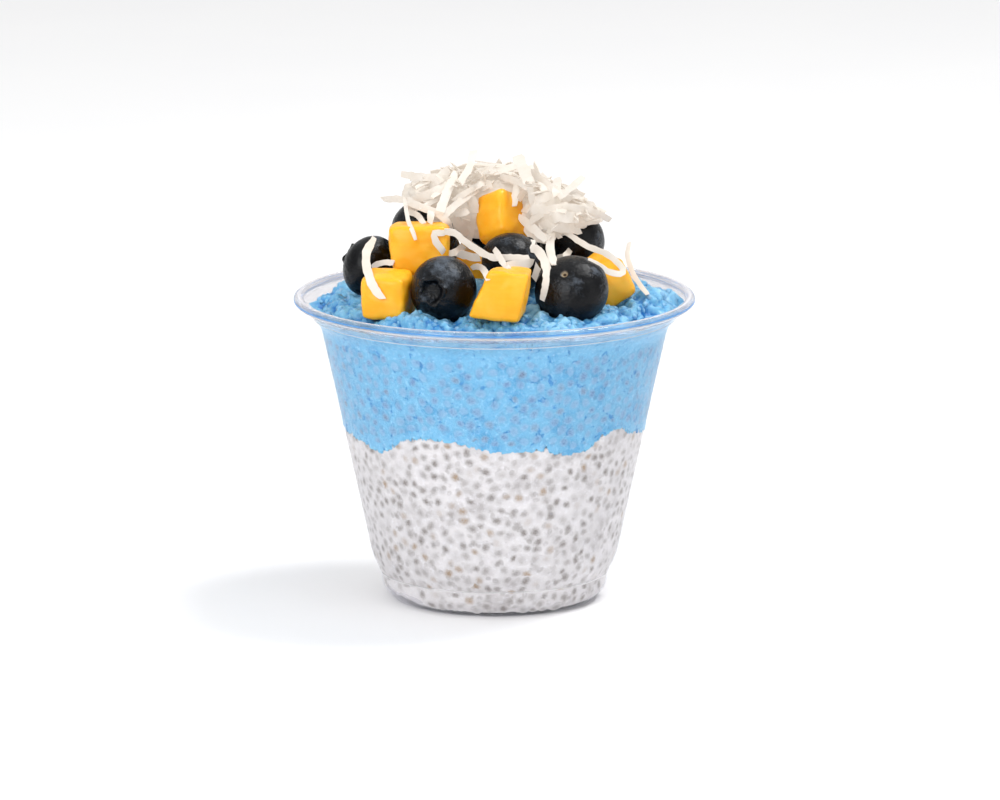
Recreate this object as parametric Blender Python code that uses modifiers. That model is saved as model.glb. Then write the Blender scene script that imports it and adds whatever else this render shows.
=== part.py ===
"""Chia pudding in a clear plastic cup, with fruit and coconut on top.

A white and a blue layer of chia gel fill a flared cup. A heap of blueberries and mango cubes
stands on them, under shredded coconut. Units are metres and +Z is up. The origin is the centre
of the cup's foot, on the surface that it stands on. The heap's best side faces -Y.
"""

import math
import random

import bmesh
import bpy
from mathutils import Euler, Matrix, Vector, kdtree, noise
from mathutils.bvhtree import BVHTree

MM = 0.001

# The cup: thin clear plastic, drawn into a flared tumbler with a pushed-up base and a rolled lip
CUP_HEIGHT = 74.5 * MM
LIP_RADIUS = 49.0 * MM
LIP_DEPTH = 1.2 * MM
WALL = 0.7 * MM
FOOT_OUTER = 24.8 * MM
FOOT_INNER = 23.2 * MM
PUNT = 2.4 * MM
STEP_RADIUS = 27.8 * MM
STEP_HEIGHT = 6.6 * MM
WALL_FOOT = (30.1 * MM, 10.7 * MM)
WALL_HEAD = (40.6 * MM, 58.9 * MM)
FLARE_START = (42.4 * MM, 66.7 * MM)
FLARE_END = (47.6 * MM, 72.8 * MM)
FLARE_LEDGE = (44.7 * MM, 70.3 * MM)
STEP_HALF = 0.4 * MM
FOOT_BOW = (27.5 * MM, 2.8 * MM)
PUNT_SLOPE = 1.6 * MM
CUP_STEPS = 36

# Two solids that touch keep this gap, and the filling keeps more from the cup's curved flare
GAP = 0.3 * MM
FILL_GAP = 0.55 * MM
FRUIT_ROOM = 0.45 * MM

# The two layers of pudding: drums whose rings are shares of the radius, fitted to the cup
LAYER_STEPS = 60
SEAM_HEIGHT = 43.6 * MM
BASE_CORNER_DROP = 1.2 * MM
SEAM_GAP = 0.5 * MM
EDGE_HEIGHT = 71.6 * MM
SHOULDER_HEIGHT = 74.6 * MM
MOUND_HEIGHT = 79.0 * MM
MOUND_RADIUS = 17.0 * MM
SHOULDER_WIDTH = 7.0 * MM
FULL_RISE = 34.0 * MM
LUMP_SIZE = 5.6 * MM
LUMP_HEIGHT = 1.5 * MM
SEAM_RINGS = (0.0, 0.4, 0.75, 1.0)
TOP_RINGS = (0.0, 0.18, 0.34, 0.48, 0.59, 0.68, 0.76, 0.83, 0.89, 0.945, 1.0)

# Where the white layer climbs the wall: angle in degrees, rise in mm, width in degrees
SEAM_WAVES = (
    (190, 0.8, 8), (222, -1.8, 6), (234, 1.6, 6), (248, 3.8, 9), (262, 1.2, 5),
    (276, 0.7, 4), (287, 1.3, 3.5), (302, -1.0, 5), (311, 0.9, 4), (321, 4.4, 6),
    (336, 1.2, 7), (10, -1.2, 8), (28, 3.2, 8), (52, 1.0, 6), (74, -1.4, 7),
    (95, 3.6, 10), (118, 0.8, 6), (138, -1.2, 7), (158, 3.0, 8),
)

# Blueberries: centre in mm, radius in mm, height as a share of width, where the crown points
BLUEBERRIES = {
    "front_left": ((-12.2, -27.0, 81.5), 8.0, 0.98, (-0.40, -0.90, 0.10)),
    "front_right": ((18.6, -24.5, 80.7), 9.0, 0.82, (0.30, 0.55, -0.78)),
    "left": ((-30.2, -4.0, 82.8), 7.6, 0.80, (-0.92, 0.22, 0.30)),
    "upper_left": ((-17.2, 6.2, 89.5), 8.1, 0.90, (0.35, 0.65, 0.65)),
    "middle": ((4.4, -14.0, 85.4), 7.8, 0.88, (0.50, 0.62, 0.60)),
    "upper_right": ((19.1, 6.5, 86.4), 8.1, 0.90, (-0.50, 0.75, 0.40)),
    "back_right": ((13.3, 23.8, 80.8), 7.7, 0.88, (0.45, 0.80, 0.40)),
    "back_left": ((-16.2, 22.8, 81.0), 8.0, 0.90, (-0.20, 0.75, -0.60)),
    "upper_back": ((0.2, 18.4, 89.6), 7.5, 0.88, (-0.35, 0.90, 0.20)),
}
BERRY_STEPS = 12

# A blueberry's profile, in shares of its radius and half height: the crown's pit, its rim, the
# angles of the round side, and the stem's scar
CROWN_PIT = ((0.0, 0.80), (0.18, 0.82))
CROWN_RIM = (0.29, 1.02)
ROUND_SIDE = (33, 56, 78, 100, 122, 146)
STEM_SCAR = ((0.16, -0.985), (0.0, -0.93))

# Mango pieces: centre, size, turns in degrees, how far the top is pushed to +X and how much
# narrower the bottom is, both as shares, then the draw that makes its cuts uneven
MANGO_CUBES = {
    "upper_left": ((-18.0, -11.8, 88.5), (15.4, 10.4, 12.2), (-4, 1, -4), 0.0, 0.18, 3),
    "left": ((-25.7, -23.8, 79.4), (11.2, 11.2, 11.0), (2, 3, -14), -0.06, 0.0, 8),
    "top": ((2.3, 2.2, 93.1), (12.2, 9.8, 12.4), (-25, 24, 44), 0.0, 0.0, 5),
    "front": ((2.3, -34.2, 81.9), (9.8, 10.8, 12.0), (-2, 3, -8), 0.23, -0.26, 2),
    "right": ((25.7, -8.7, 79.7), (12.0, 12.0, 10.8), (8, -27, 30), 0.0, 0.0, 7),
    "inner": ((-5.0, 1.6, 79.0), (9.4, 11.0, 11.2), (0, 4, -6), 0.0, 0.0, 4),
    "back": ((-1.6, 30.8, 78.8), (12.4, 11.6, 11.6), (-3, 5, 12), 0.1, 0.0, 6),
    "back_left": ((-28.6, 12.6, 78.6), (11.8, 12.4, 11.0), (4, -6, 28), 0.0, 0.08, 9),
    "back_right": ((25.4, 16.6, 76.8), (9.8, 9.4, 8.6), (3, 7, -38), 0.0, -0.06, 1),
}
CUT_UNEVENNESS = 0.07
MANGO_EDGE = 1.1 * MM

# Coconut: mounds on the heap, each a centre and half sizes in mm, under strips cut by a grater.
# Lumps are given as how many there are across and how much they swell the mound.
MOUNDS = (
    ((0.0, 14.5, 95.2), (19.0, 13.0, 7.6)),
    ((14.6, 3.0, 94.0), (9.0, 8.0, 5.8)),
    ((-13.5, 8.0, 97.6), (9.0, 8.5, 5.0)),
)
MOUND_LUMPS = (2.3, 0.14)
ROOT_DEPTH = 0.7
STRIP_WIDTH = 2.1 * MM
STRIP_THICKNESS = 0.7 * MM
SCATTERED_STRIPS = (14, 7, 5)
SCATTERED_LENGTH = (9.0 * MM, 18.0 * MM)
SCATTERED_TILT = 28
SCATTERED_BOW = (-0.02, 0.10)
GOLDEN_ANGLE = 137.508
BACKDROP = 8.0 * MM
STRIP_SEED = 9
STRIP_CLEARANCE = 0.6 * MM
LOOSE_CLEARANCE = 2.4 * MM
TOUCHING = 0.001 * MM
EASE = 0.02 * MM

# The point that the strips below are seen from. Each is its width, then its middle line in mm, as
# (x, height) where the sight lines meet the plane Y = 0. The strip lies on what stands there, and
# its first point is the one that comes out of a mound.
SIGHT_FROM = Vector((0.0014, -1.898, 0.446))
STRIPS = {
    "left_tip": (1.8, ((-20, 98), (-24.5, 98.6), (-27, 98.5))),
    "left_high": (1.9, ((-12, 103), (-18, 104), (-22.5, 104.6))),
    "left_slope": (1.8, ((-21, 98), (-17, 96.4), (-14, 95), (-12, 93.4))),
    "over_top_cube": (2.0, ((-5.5, 99.5), (-5.6, 94), (-6.3, 88.5))),
    "long_front": (1.6, ((-12, 94), (-9.6, 90.4), (-7.5, 88.3), (-3, 85), (1.4, 84), (5, 84.1), (9, 85))),
    "drop": (2.2, ((10.6, 90.5), (10.2, 87.4), (11.4, 85), (12.6, 82.4), (12.9, 79.6), (12, 74.5))),
    "stub": (2.0, ((13.9, 91), (13.7, 86), (14.5, 82.8))),
    "loop_right": (1.5, ((16, 92), (20, 88.8), (23, 86.8), (27, 85.3), (30.5, 82.5), (31, 80.6),
                         (27.5, 81), (24, 83.2))),
    "arch": (2.2, ((9.5, 93.5), (12, 95.5), (15, 96.2), (19, 96.4), (23.5, 95), (27, 93.4))),
    "slant": (2.1, ((6.2, 94.5), (9.8, 91.2), (12.3, 88.5))),
    "sheet_top": (2.8, ((8.7, 101), (6.8, 106), (5.7, 109))),
    "spike_top": (1.8, ((-8, 101), (-6, 106.6), (-5.3, 110))),
    "spike_left": (2.4, ((-14.5, 101), (-12.5, 104.2), (-10.7, 106.3))),
    "spike_right": (1.8, ((15, 98), (19, 101.8), (21.4, 104))),
    "spike_short": (2.2, ((15, 98), (15.4, 103.6))),
}
LOOSE_STRIPS = {
    "left": (2.1, ((-29.3, 88.6), (-31, 86), (-31.3, 83), (-30.6, 79.6), (-29.2, 76.5), (-27.4, 74.2))),
    "right": (1.4, ((33.1, 87.4), (32.9, 84.8), (33.6, 81.8), (34.9, 79.2), (36.2, 77.4))),
}


def remove_everything():
    for obj in list(bpy.data.objects):
        bpy.data.objects.remove(obj, do_unlink=True)


def new_collection(name):
    made = bpy.data.collections.new(name)
    bpy.context.scene.collection.children.link(made)
    return made


def new_material(name, colour, roughness, transmission=0.0, ior=1.5):
    made = bpy.data.materials.new(name)
    made.use_nodes = True
    made.diffuse_color = (*colour, 1.0)
    shader = made.node_tree.nodes["Principled BSDF"]
    shader.inputs["Base Color"].default_value = (*colour, 1.0)
    shader.inputs["Roughness"].default_value = roughness
    shader.inputs["Metallic"].default_value = 0.0
    shader.inputs["Transmission Weight"].default_value = transmission
    shader.inputs["IOR"].default_value = ior
    return made


def add_object(name, mesh, collection, material=None):
    obj = bpy.data.objects.new(name, mesh)
    collection.objects.link(obj)
    if material:
        mesh.materials.clear()
        mesh.materials.append(material)
    return obj


def shade_round(mesh, angle=40):
    mesh.shade_smooth()
    mesh.set_sharp_from_angle(angle=math.radians(angle))


def turned(name, profile, steps, collection, material=None):
    """A body turned about Z from a profile of (radius, height), with its Screw modifier applied."""
    mesh = bpy.data.meshes.new(name)
    points = [(radius, 0.0, height) for radius, height in profile]
    mesh.from_pydata(points, [(i, i + 1) for i in range(len(points) - 1)], [])
    obj = add_object(name, mesh, collection, material)
    screw = obj.modifiers.new("Turned", "SCREW")
    screw.steps = steps
    screw.render_steps = steps
    screw.use_merge_vertices = True
    screw.merge_threshold = 0.00005
    screw.use_smooth_shade = True
    return applied(obj)


def applied(obj):
    """Replaces the object's mesh by what its modifiers make of it."""
    graph = bpy.context.evaluated_depsgraph_get()
    made = bpy.data.meshes.new_from_object(obj.evaluated_get(graph))
    obj.modifiers.clear()
    old = obj.data
    obj.data = made
    made.name = obj.name
    if not isinstance(old, bpy.types.Curve):
        bpy.data.meshes.remove(old)
    return obj


def arc(start, end, bulge, points):
    """Points from start to end on a smooth bow whose middle stands off the chord by bulge."""
    (x0, z0), (x1, z1) = start, end
    length = math.hypot(x1 - x0, z1 - z0)
    across = ((z0 - z1) / length, (x1 - x0) / length)
    made = []
    for i in range(1, points):
        share = i / points
        off = bulge * 4 * share * (1 - share)
        made.append((x0 + share * (x1 - x0) + off * across[0], z0 + share * (z1 - z0) + off * across[1]))
    return made


def cup_outside():
    """The cup's outer profile, from under the lip down to the middle of the pushed-up base."""
    step_top = (STEP_RADIUS + STEP_HALF, STEP_HEIGHT + STEP_HALF)
    return [
        FLARE_END,
        FLARE_LEDGE,
        *arc(FLARE_LEDGE, FLARE_START, -0.35 * MM, 2),
        FLARE_START,
        WALL_HEAD,
        ((WALL_HEAD[0] + WALL_FOOT[0]) / 2, (WALL_HEAD[1] + WALL_FOOT[1]) / 2),
        WALL_FOOT,
        *arc(WALL_FOOT, step_top, -0.25 * MM, 2),
        step_top,
        (STEP_RADIUS, STEP_HEIGHT - STEP_HALF),
        FOOT_BOW,
        *arc(FOOT_BOW, (FOOT_OUTER, 0.0), -0.5 * MM, 2),
        (FOOT_OUTER, 0.0),
        (FOOT_INNER, 0.0),
        (FOOT_INNER - PUNT_SLOPE, PUNT),
        (0.0, PUNT),
    ]


def inset(profile, depth):
    """The profile moved inwards by depth, square to itself."""
    made = []
    for i, (radius, height) in enumerate(profile):
        before = profile[max(i - 1, 0)]
        after = profile[min(i + 1, len(profile) - 1)]
        sides = []
        for (r0, z0), (r1, z1) in ((before, (radius, height)), ((radius, height), after)):
            length = math.hypot(r1 - r0, z1 - z0)
            if length > 0:
                sides.append(Vector((z1 - z0, r0 - r1)) / length)
        mean = (sides[0] + sides[-1]).normalized()
        reach = depth / max(mean.dot(sides[0]), 0.5)
        made.append((max(radius + mean.x * reach, 0.0), height + mean.y * reach))
    made[-1] = (0.0, made[-1][1])
    return made


def make_cup(collection, material):
    outside = cup_outside()
    inside = inset(outside, WALL)
    lip_side = CUP_HEIGHT - LIP_DEPTH / 2
    lip = [
        (inside[0][0] + 0.1 * MM, CUP_HEIGHT - 0.7 * MM),
        (LIP_RADIUS - 0.9 * MM, CUP_HEIGHT),
        (LIP_RADIUS - 0.3 * MM, CUP_HEIGHT - 0.1 * MM),
        (LIP_RADIUS, lip_side),
        (LIP_RADIUS - 0.4 * MM, CUP_HEIGHT - LIP_DEPTH),
    ]
    cup = turned("cup", list(reversed(inside)) + lip + outside, CUP_STEPS, collection, material)
    shade_round(cup.data, 30)
    return cup


def smooth_step(value, low, high):
    share = min(max((value - low) / (high - low), 0.0), 1.0)
    return share * share * (3 - 2 * share)


def bore(height):
    """The cup's inner radius at a height, with the gap that the filling keeps."""
    wall = [point for point in inset(cup_outside(), WALL + FILL_GAP) if point[0] > FOOT_INNER]
    height = min(max(height, wall[-1][1]), wall[0][1])
    for (r0, z0), (r1, z1) in zip(wall, wall[1:]):
        if z1 <= height <= z0:
            return r1 + (r0 - r1) * (height - z1) / max(z0 - z1, 1e-9)
    return wall[0][0]


def cup_floor(radius, angle):
    """What the white layer lies on: the pushed-up base, and the air trapped in the foot's corner."""
    return PUNT + WALL + GAP - BASE_CORNER_DROP * smooth_step(radius, FOOT_INNER - 0.8 * MM, FOOT_OUTER)


def seam(radius, angle):
    """Height of the middle of the seam between the two layers."""
    rise = 0.0
    for centre, height, width in SEAM_WAVES:
        off = (math.degrees(angle) - centre + 180) % 360 - 180
        rise += height * MM * math.exp(-0.5 * (off / width) ** 2)
    return SEAM_HEIGHT + rise * min(radius / FULL_RISE, 1.0) ** 2


def surface(radius, angle):
    """Height of the blue layer's lumpy top."""
    edge = bore(EDGE_HEIGHT)
    edge_share = smooth_step(radius, edge - SHOULDER_WIDTH, edge)
    mound_share = 1 - smooth_step(radius, MOUND_RADIUS * 0.5, MOUND_RADIUS * 1.9)
    height = SHOULDER_HEIGHT + (EDGE_HEIGHT - SHOULDER_HEIGHT) * edge_share
    height += (MOUND_HEIGHT - SHOULDER_HEIGHT) * mound_share
    place = Vector((radius * math.cos(angle), radius * math.sin(angle), 0.0)) / LUMP_SIZE
    lumps = noise.noise(place + Vector((3.1, 7.7, 0.0))) + 0.6 * noise.noise(place * 2.1)
    return height + LUMP_HEIGHT * lumps


def make_layer(name, under, over, under_rings, over_rings, levels, collection, material):
    """A drum of unit size, turned, then fitted to the cup's bore and to the two heights."""
    profile = [(share, 1.0) for share in over_rings]
    profile += [(1.0, level) for level in levels]
    profile += [(share, 0.0) for share in reversed(under_rings)]
    layer = turned(name, profile, LAYER_STEPS, collection, material)
    for vertex in layer.data.vertices:
        share = math.hypot(vertex.co.x, vertex.co.y)
        angle = math.atan2(vertex.co.y, vertex.co.x)
        level = vertex.co.z
        radius = share * bore(SEAM_HEIGHT)
        for _ in range(4):
            height = under(radius, angle) * (1 - level) + over(radius, angle) * level
            radius = share * bore(height)
        vertex.co = (radius * math.cos(angle), radius * math.sin(angle), height)
    shade_round(layer.data, 60)
    return layer


def berry_profile(radius, flatness):
    """Half a blueberry's outline, from the crown at the top down to the stem's scar."""
    shares = [*CROWN_PIT, CROWN_RIM]
    for degrees in ROUND_SIDE:
        turn = math.radians(degrees)
        shares.append((math.sin(turn), math.cos(turn)))
    shares += STEM_SCAR
    return [(radius * across, radius * flatness * up) for across, up in shares]


def make_blueberries(collection, material):
    berries = []
    for name, (centre, radius, flatness, crown) in BLUEBERRIES.items():
        profile = berry_profile(radius * MM, flatness)
        berry = turned("blueberry_" + name, profile, BERRY_STEPS, collection, material)
        shade_round(berry.data, 50)
        berry.rotation_euler = Vector(crown).to_track_quat("Z", "Y").to_euler()
        berry.location = Vector(centre) * MM
        berries.append(berry)
    return berries


def make_mango_cubes(collection, material):
    cubes = []
    for name, (centre, size, turns, lean, taper, seed) in MANGO_CUBES.items():
        draw = random.Random(seed)
        work = bmesh.new()
        bmesh.ops.create_cube(work, size=1.0)
        for corner in work.verts:
            for axis in range(3):
                corner.co[axis] *= size[axis] * MM * (1 + draw.uniform(-1, 1) * CUT_UNEVENNESS)
            if corner.co.z < 0:
                corner.co.x *= 1 - taper
            corner.co.x += lean * corner.co.z
        bmesh.ops.bevel(work, geom=list(work.edges), offset=MANGO_EDGE, offset_type="OFFSET",
                        affect="EDGES", segments=2, profile=0.5, material=-1)
        mesh = bpy.data.meshes.new("mango_cube_" + name)
        work.to_mesh(mesh)
        work.free()
        cube = add_object("mango_cube_" + name, mesh, collection, material)
        shade_round(mesh, 50)
        cube.rotation_euler = Euler([math.radians(turn) for turn in turns])
        cube.location = Vector(centre) * MM
        cubes.append(cube)
    return cubes


def grown_copy(obj, by, collection):
    """A copy that stands off the object by a distance all over, to cut room for it."""
    mesh = obj.data.copy()
    normals = [vertex.normal.copy() for vertex in mesh.vertices]
    for vertex, normal in zip(mesh.vertices, normals):
        vertex.co += normal * by
    copy = add_object("room_for_" + obj.name, mesh, collection)
    copy.matrix_world = obj.matrix_world.copy()
    copy.hide_render = True
    copy.display_type = "WIRE"
    return copy


def combined(obj, operation, others, solver="EXACT"):
    """The object after one Boolean with every object of a collection."""
    boolean = obj.modifiers.new(operation.title(), "BOOLEAN")
    boolean.operation = operation
    boolean.operand_type = "COLLECTION"
    boolean.collection = others
    boolean.solver = solver
    return applied(obj)


def tree_of(objects):
    """All the objects' faces, in world space, for measuring against."""
    points = []
    faces = []
    for obj in objects:
        first = len(points)
        points += [obj.matrix_world @ vertex.co for vertex in obj.data.vertices]
        faces += [[first + i for i in face.vertices] for face in obj.data.polygons]
    return BVHTree.FromPolygons(points, faces)


def halved(line):
    """The line with a point added in the middle of each stretch."""
    made = [line[0]]
    for (x0, z0), (x1, z1) in zip(line, line[1:]):
        made += [((x0 + x1) / 2, (z0 + z1) / 2), (x1, z1)]
    return made


def bridged(distances):
    """A stiff strip rests on what stands nearest and spans the hollows between."""
    made = list(distances)
    last = len(distances)
    for i in range(last):
        for j in range(i):
            for k in range(i + 1, last):
                share = (i - j) / (k - j)
                made[i] = min(made[i], distances[j] + share * (distances[k] - distances[j]))
    return made


def laid_on(tree, line, clearance=STRIP_CLEARANCE):
    """A strip's points in space, from its middle line as it is seen, with the way that it faces."""
    sights = []
    distances = []
    for x, height in line:
        aim = Vector((x, 0.0, height)) * MM
        sight = (aim - SIGHT_FROM).normalized()
        hit, _, _, distance = tree.ray_cast(SIGHT_FROM, sight)
        if hit is None:
            distance = (BACKDROP - SIGHT_FROM.y) / sight.y
        sights.append(sight)
        distances.append(distance - clearance - STRIP_THICKNESS)
    return [(SIGHT_FROM + sight * far, -sight) for sight, far in zip(sights, bridged(distances))]


def rooted(line):
    """The line with a start inside the nearest mound."""
    first, facing = line[0]
    reaches = []
    for centre, size in MOUNDS:
        off = first - Vector(centre) * MM
        reach = Vector([off[axis] / (size[axis] * MM) for axis in range(3)]).length
        reaches.append((reach, off))
    reach, off = min(reaches, key=lambda pair: pair[0])
    if reach <= ROOT_DEPTH:
        return line
    return [(first - off * (1 - ROOT_DEPTH / reach), facing), *line]


def make_strip(name, line, width, collection, material=None):
    """A ribbon bent along its middle line, wide side facing as each point says, then thickened."""
    work = bmesh.new()
    steps = len(line) - 1
    bmesh.ops.create_grid(work, x_segments=steps, y_segments=1, size=1.0)
    for vertex in work.verts:
        i = round((vertex.co.x + 1) / 2 * steps)
        place, facing = line[i]
        along = (line[min(i + 1, steps)][0] - line[max(i - 1, 0)][0]).normalized()
        side = facing.cross(along).normalized()
        vertex.co = place + side * (width / 2) * vertex.co.y
    work.normal_update()
    bmesh.ops.solidify(work, geom=list(work.faces), thickness=STRIP_THICKNESS)
    bmesh.ops.recalc_face_normals(work, faces=list(work.faces))
    mesh = bpy.data.meshes.new(name)
    work.to_mesh(mesh)
    work.free()
    return add_object(name, mesh, collection, material)


def scattered_line(draw, centre, size, index, count):
    """The middle line of one strip that lies across a mound, with an end or two in the air."""
    turn = math.radians(index * GOLDEN_ANGLE + draw.uniform(-12, 12))
    lift = math.asin(0.12 + 0.86 * (index + 0.5) / count)
    out = Vector((math.cos(turn) * math.cos(lift), math.sin(turn) * math.cos(lift), math.sin(lift)))
    place = centre + out * size
    facing = Vector([out[axis] / size[axis] for axis in range(3)]).normalized()
    along = facing.orthogonal()
    along.rotate(Matrix.Rotation(draw.uniform(0, math.tau), 3, facing))
    tilt = math.radians(draw.uniform(-SCATTERED_TILT, SCATTERED_TILT))
    length = draw.uniform(*SCATTERED_LENGTH)
    bow = draw.uniform(*SCATTERED_BOW) * length
    line = []
    for step in range(5):
        share = step / 4 * 2 - 1
        rise = math.sin(tilt) * share * length / 2 - bow * share * share
        line.append((place + along * share * length / 2 * math.cos(tilt) + facing * rise, facing))
    return line


def largest_island(obj):
    """Keeps the outer skin of the biggest body, which also fills what fusing sealed off."""
    work = bmesh.new()
    work.from_mesh(obj.data)
    left = set(work.faces)
    best = set()
    while left:
        island = {left.pop()}
        edge = list(island)
        while edge:
            face = edge.pop()
            for side in face.edges:
                for other in side.link_faces:
                    if len(side.link_faces) == 2 and other not in island:
                        island.add(other)
                        edge.append(other)
        left -= island
        if len(island) > len(best):
            best = island
    scraps = [face for face in work.faces if face not in best]
    bmesh.ops.delete(work, geom=scraps, context="FACES")
    work.to_mesh(obj.data)
    work.free()


def ease_touching(obj):
    """Where two parts of the skin meet at one spot, each is drawn in a little, so that they part."""
    work = bmesh.new()
    work.from_mesh(obj.data)
    work.normal_update()
    spots = kdtree.KDTree(len(work.verts))
    for vertex in work.verts:
        spots.insert(vertex.co, vertex.index)
    spots.balance()
    moves = {}
    for vertex in work.verts:
        together = sorted(index for _, index, _ in spots.find_range(vertex.co, TOUCHING))
        if len(together) > 1:
            moves[vertex] = vertex.normal * -EASE * (1 + together.index(vertex.index))
    for vertex, move in moves.items():
        vertex.co += move
    work.to_mesh(obj.data)
    work.free()


def make_coconut(fruit, carried_by, cutters, collection, material):
    """The mounds and their strips as one solid, cut clear of the fruit, and two strips that lie apart."""
    strips = new_collection("Coconut strips")
    mounds = []
    for centre, size in MOUNDS:
        work = bmesh.new()
        bmesh.ops.create_icosphere(work, subdivisions=2 if mounds else 3, radius=1.0)
        for vertex in work.verts:
            lump = 1 + MOUND_LUMPS[1] * noise.noise(vertex.co * MOUND_LUMPS[0])
            vertex.co = Vector(centre) * MM + vertex.co * Vector(size) * MM * lump
        mesh = bpy.data.meshes.new("coconut_shreds")
        work.to_mesh(mesh)
        work.free()
        home = strips if mounds else collection
        mounds.append(add_object("coconut_shreds", mesh, home, None if mounds else material))
    mound = mounds[0]
    standing = tree_of([*fruit, carried_by, *mounds])
    for name, (width, line) in STRIPS.items():
        make_strip(name, rooted(laid_on(standing, line)), width * MM, strips)
    draw = random.Random(STRIP_SEED)
    for (centre, size), count in zip(MOUNDS, SCATTERED_STRIPS):
        for index in range(count):
            width = STRIP_WIDTH * draw.uniform(0.8, 1.15)
            line = scattered_line(draw, Vector(centre) * MM, Vector(size) * MM, index, count)
            make_strip("scattered", line, width, strips)
    for name, (width, line) in LOOSE_STRIPS.items():
        place = laid_on(standing, halved(halved(line)), LOOSE_CLEARANCE)
        strip = make_strip("coconut_strip_" + name, place, width * MM, collection, material)
        combined(strip, "DIFFERENCE", cutters, "MANIFOLD")
        largest_island(strip)
        shade_round(strip.data, 50)
    combined(mound, "UNION", strips, "MANIFOLD")
    for strip in list(strips.objects):
        bpy.data.objects.remove(strip, do_unlink=True)
    bpy.data.collections.remove(strips)
    combined(mound, "DIFFERENCE", cutters, "MANIFOLD")
    largest_island(mound)
    ease_touching(mound)
    shade_round(mound.data, 50)


def main():
    remove_everything()
    pudding = new_collection("Chia pudding")
    cutters = new_collection("Cutters")
    clear = new_material("Clear plastic", (0.90, 0.91, 0.94), 0.06, transmission=0.9, ior=1.57)
    white = new_material("White chia gel", (0.78, 0.76, 0.76), 0.45)
    blue = new_material("Blue chia gel", (0.20, 0.50, 0.84), 0.45)
    skin = new_material("Blueberry skin", (0.020, 0.024, 0.040), 0.50)
    flesh = new_material("Mango flesh", (0.98, 0.52, 0.04), 0.38)
    shreds = new_material("Coconut shreds", (0.85, 0.79, 0.70), 0.55)

    make_cup(pudding, clear)
    make_layer("white_pudding", cup_floor, lambda r, a: seam(r, a) - SEAM_GAP / 2,
               (0.0, 0.84, 0.92, 1.0), SEAM_RINGS, (0.66, 0.33, 0.1), pudding, white)
    blue_layer = make_layer("blue_pudding", lambda r, a: seam(r, a) + SEAM_GAP / 2, surface,
                            SEAM_RINGS, TOP_RINGS, (0.93, 0.84, 0.42), pudding, blue)
    fruit = make_blueberries(pudding, skin) + make_mango_cubes(pudding, flesh)
    bpy.context.view_layer.update()
    for piece in fruit:
        grown_copy(piece, FRUIT_ROOM, cutters)
    combined(blue_layer, "DIFFERENCE", cutters)
    make_coconut(fruit, blue_layer, cutters, pudding, shreds)


main()
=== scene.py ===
"""Looks of the chia pudding in its clear cup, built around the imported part.

Metres, +Z up, in the part's own frame. Tables of sizes and places are in millimetres, as named
values, and meshes are scaled once they are made. Everything random is seeded.
"""

import math
import random

import bmesh
import bpy
import numpy as np
from mathutils import Euler, Matrix, Vector, noise
from mathutils.bvhtree import BVHTree


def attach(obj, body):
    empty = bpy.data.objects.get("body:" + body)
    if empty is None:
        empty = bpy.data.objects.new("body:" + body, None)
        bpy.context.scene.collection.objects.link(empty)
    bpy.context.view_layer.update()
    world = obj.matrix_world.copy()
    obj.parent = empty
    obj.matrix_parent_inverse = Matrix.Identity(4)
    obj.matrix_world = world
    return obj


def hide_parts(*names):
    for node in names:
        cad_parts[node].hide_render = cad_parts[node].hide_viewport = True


MM = 0.001

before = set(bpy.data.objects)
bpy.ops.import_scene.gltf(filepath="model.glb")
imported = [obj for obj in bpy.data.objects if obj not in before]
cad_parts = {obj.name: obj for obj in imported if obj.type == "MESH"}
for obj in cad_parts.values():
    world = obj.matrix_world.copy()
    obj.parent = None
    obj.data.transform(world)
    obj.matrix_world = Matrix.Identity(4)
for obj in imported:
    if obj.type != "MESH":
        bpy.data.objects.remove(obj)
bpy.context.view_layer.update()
# Noise vectors start from the clock unless they are given a seed
noise.seed_set(5)

# The camera of the photograph: 1.9 m away, looking 11.8 degrees down through a long lens
CAMERA_PLACE = Vector((0.001353, -1.898, 0.446))
CAMERA_TILT = math.radians(78.176)
LENS = 285.264
SENSOR = 36
FARTHEST_SEEN = 20
# The white room: its strength, and its brightness from the horizon (0) to overhead (1)
ROOM_STRENGTH = 0.8
ROOM_STOPS = ((0.0, 0.95), (0.10, 0.95), (0.28, 0.62), (0.60, 0.58), (0.85, 1.3))
# Soft boxes: place in metres, width and height, and power in watts
LAMPS = {
    "key": ((-0.60, -1.05, 0.72), (0.8, 0.8), 9.6),
    "fill": ((0.75, -0.55, 0.45), (0.6, 0.8), 1.2),
    "top": ((0.42, 0.14, 0.95), (0.26, 0.26), 5.0),
}
AIM = Vector((0, 0, 0.06))
TABLE_REACH = 6.0

# The cup: corners of its outer profile as radius, height and how far the corner is rounded, in mm
CUP_OUTSIDE = (
    (47.5, 72.9, 0.5), (44.9, 70.6, 0.3), (44.6, 70.0, 0.3), (43.3, 68.6, 0.6), (42.4, 66.7, 1.0),
    (40.6, 58.9, 3.0), (30.1, 10.7, 2.0), (28.3, 7.1, 0.5), (27.8, 6.2, 0.5), (27.5, 2.8, 1.4),
    (24.8, 0.0, 0.5), (23.2, 0.0, 0.5), (21.6, 2.4, 0.6), (0.0, 2.4, 0.0),
)
CUP_WALL = 0.35
CUP_STEPS = 180
ROUNDING_STEPS = 5
LONGEST_SPAN = 1.2
# The rolled lip: middle and half sizes, and the bow from its inner foot to its outer one in degrees
LIP_MIDDLE = (47.75, 74.1)
LIP_SIZE = (1.25, 1.03)
LIP_POINTS = 24
LIP_FROM = 150
LIP_TURN = 250
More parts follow.
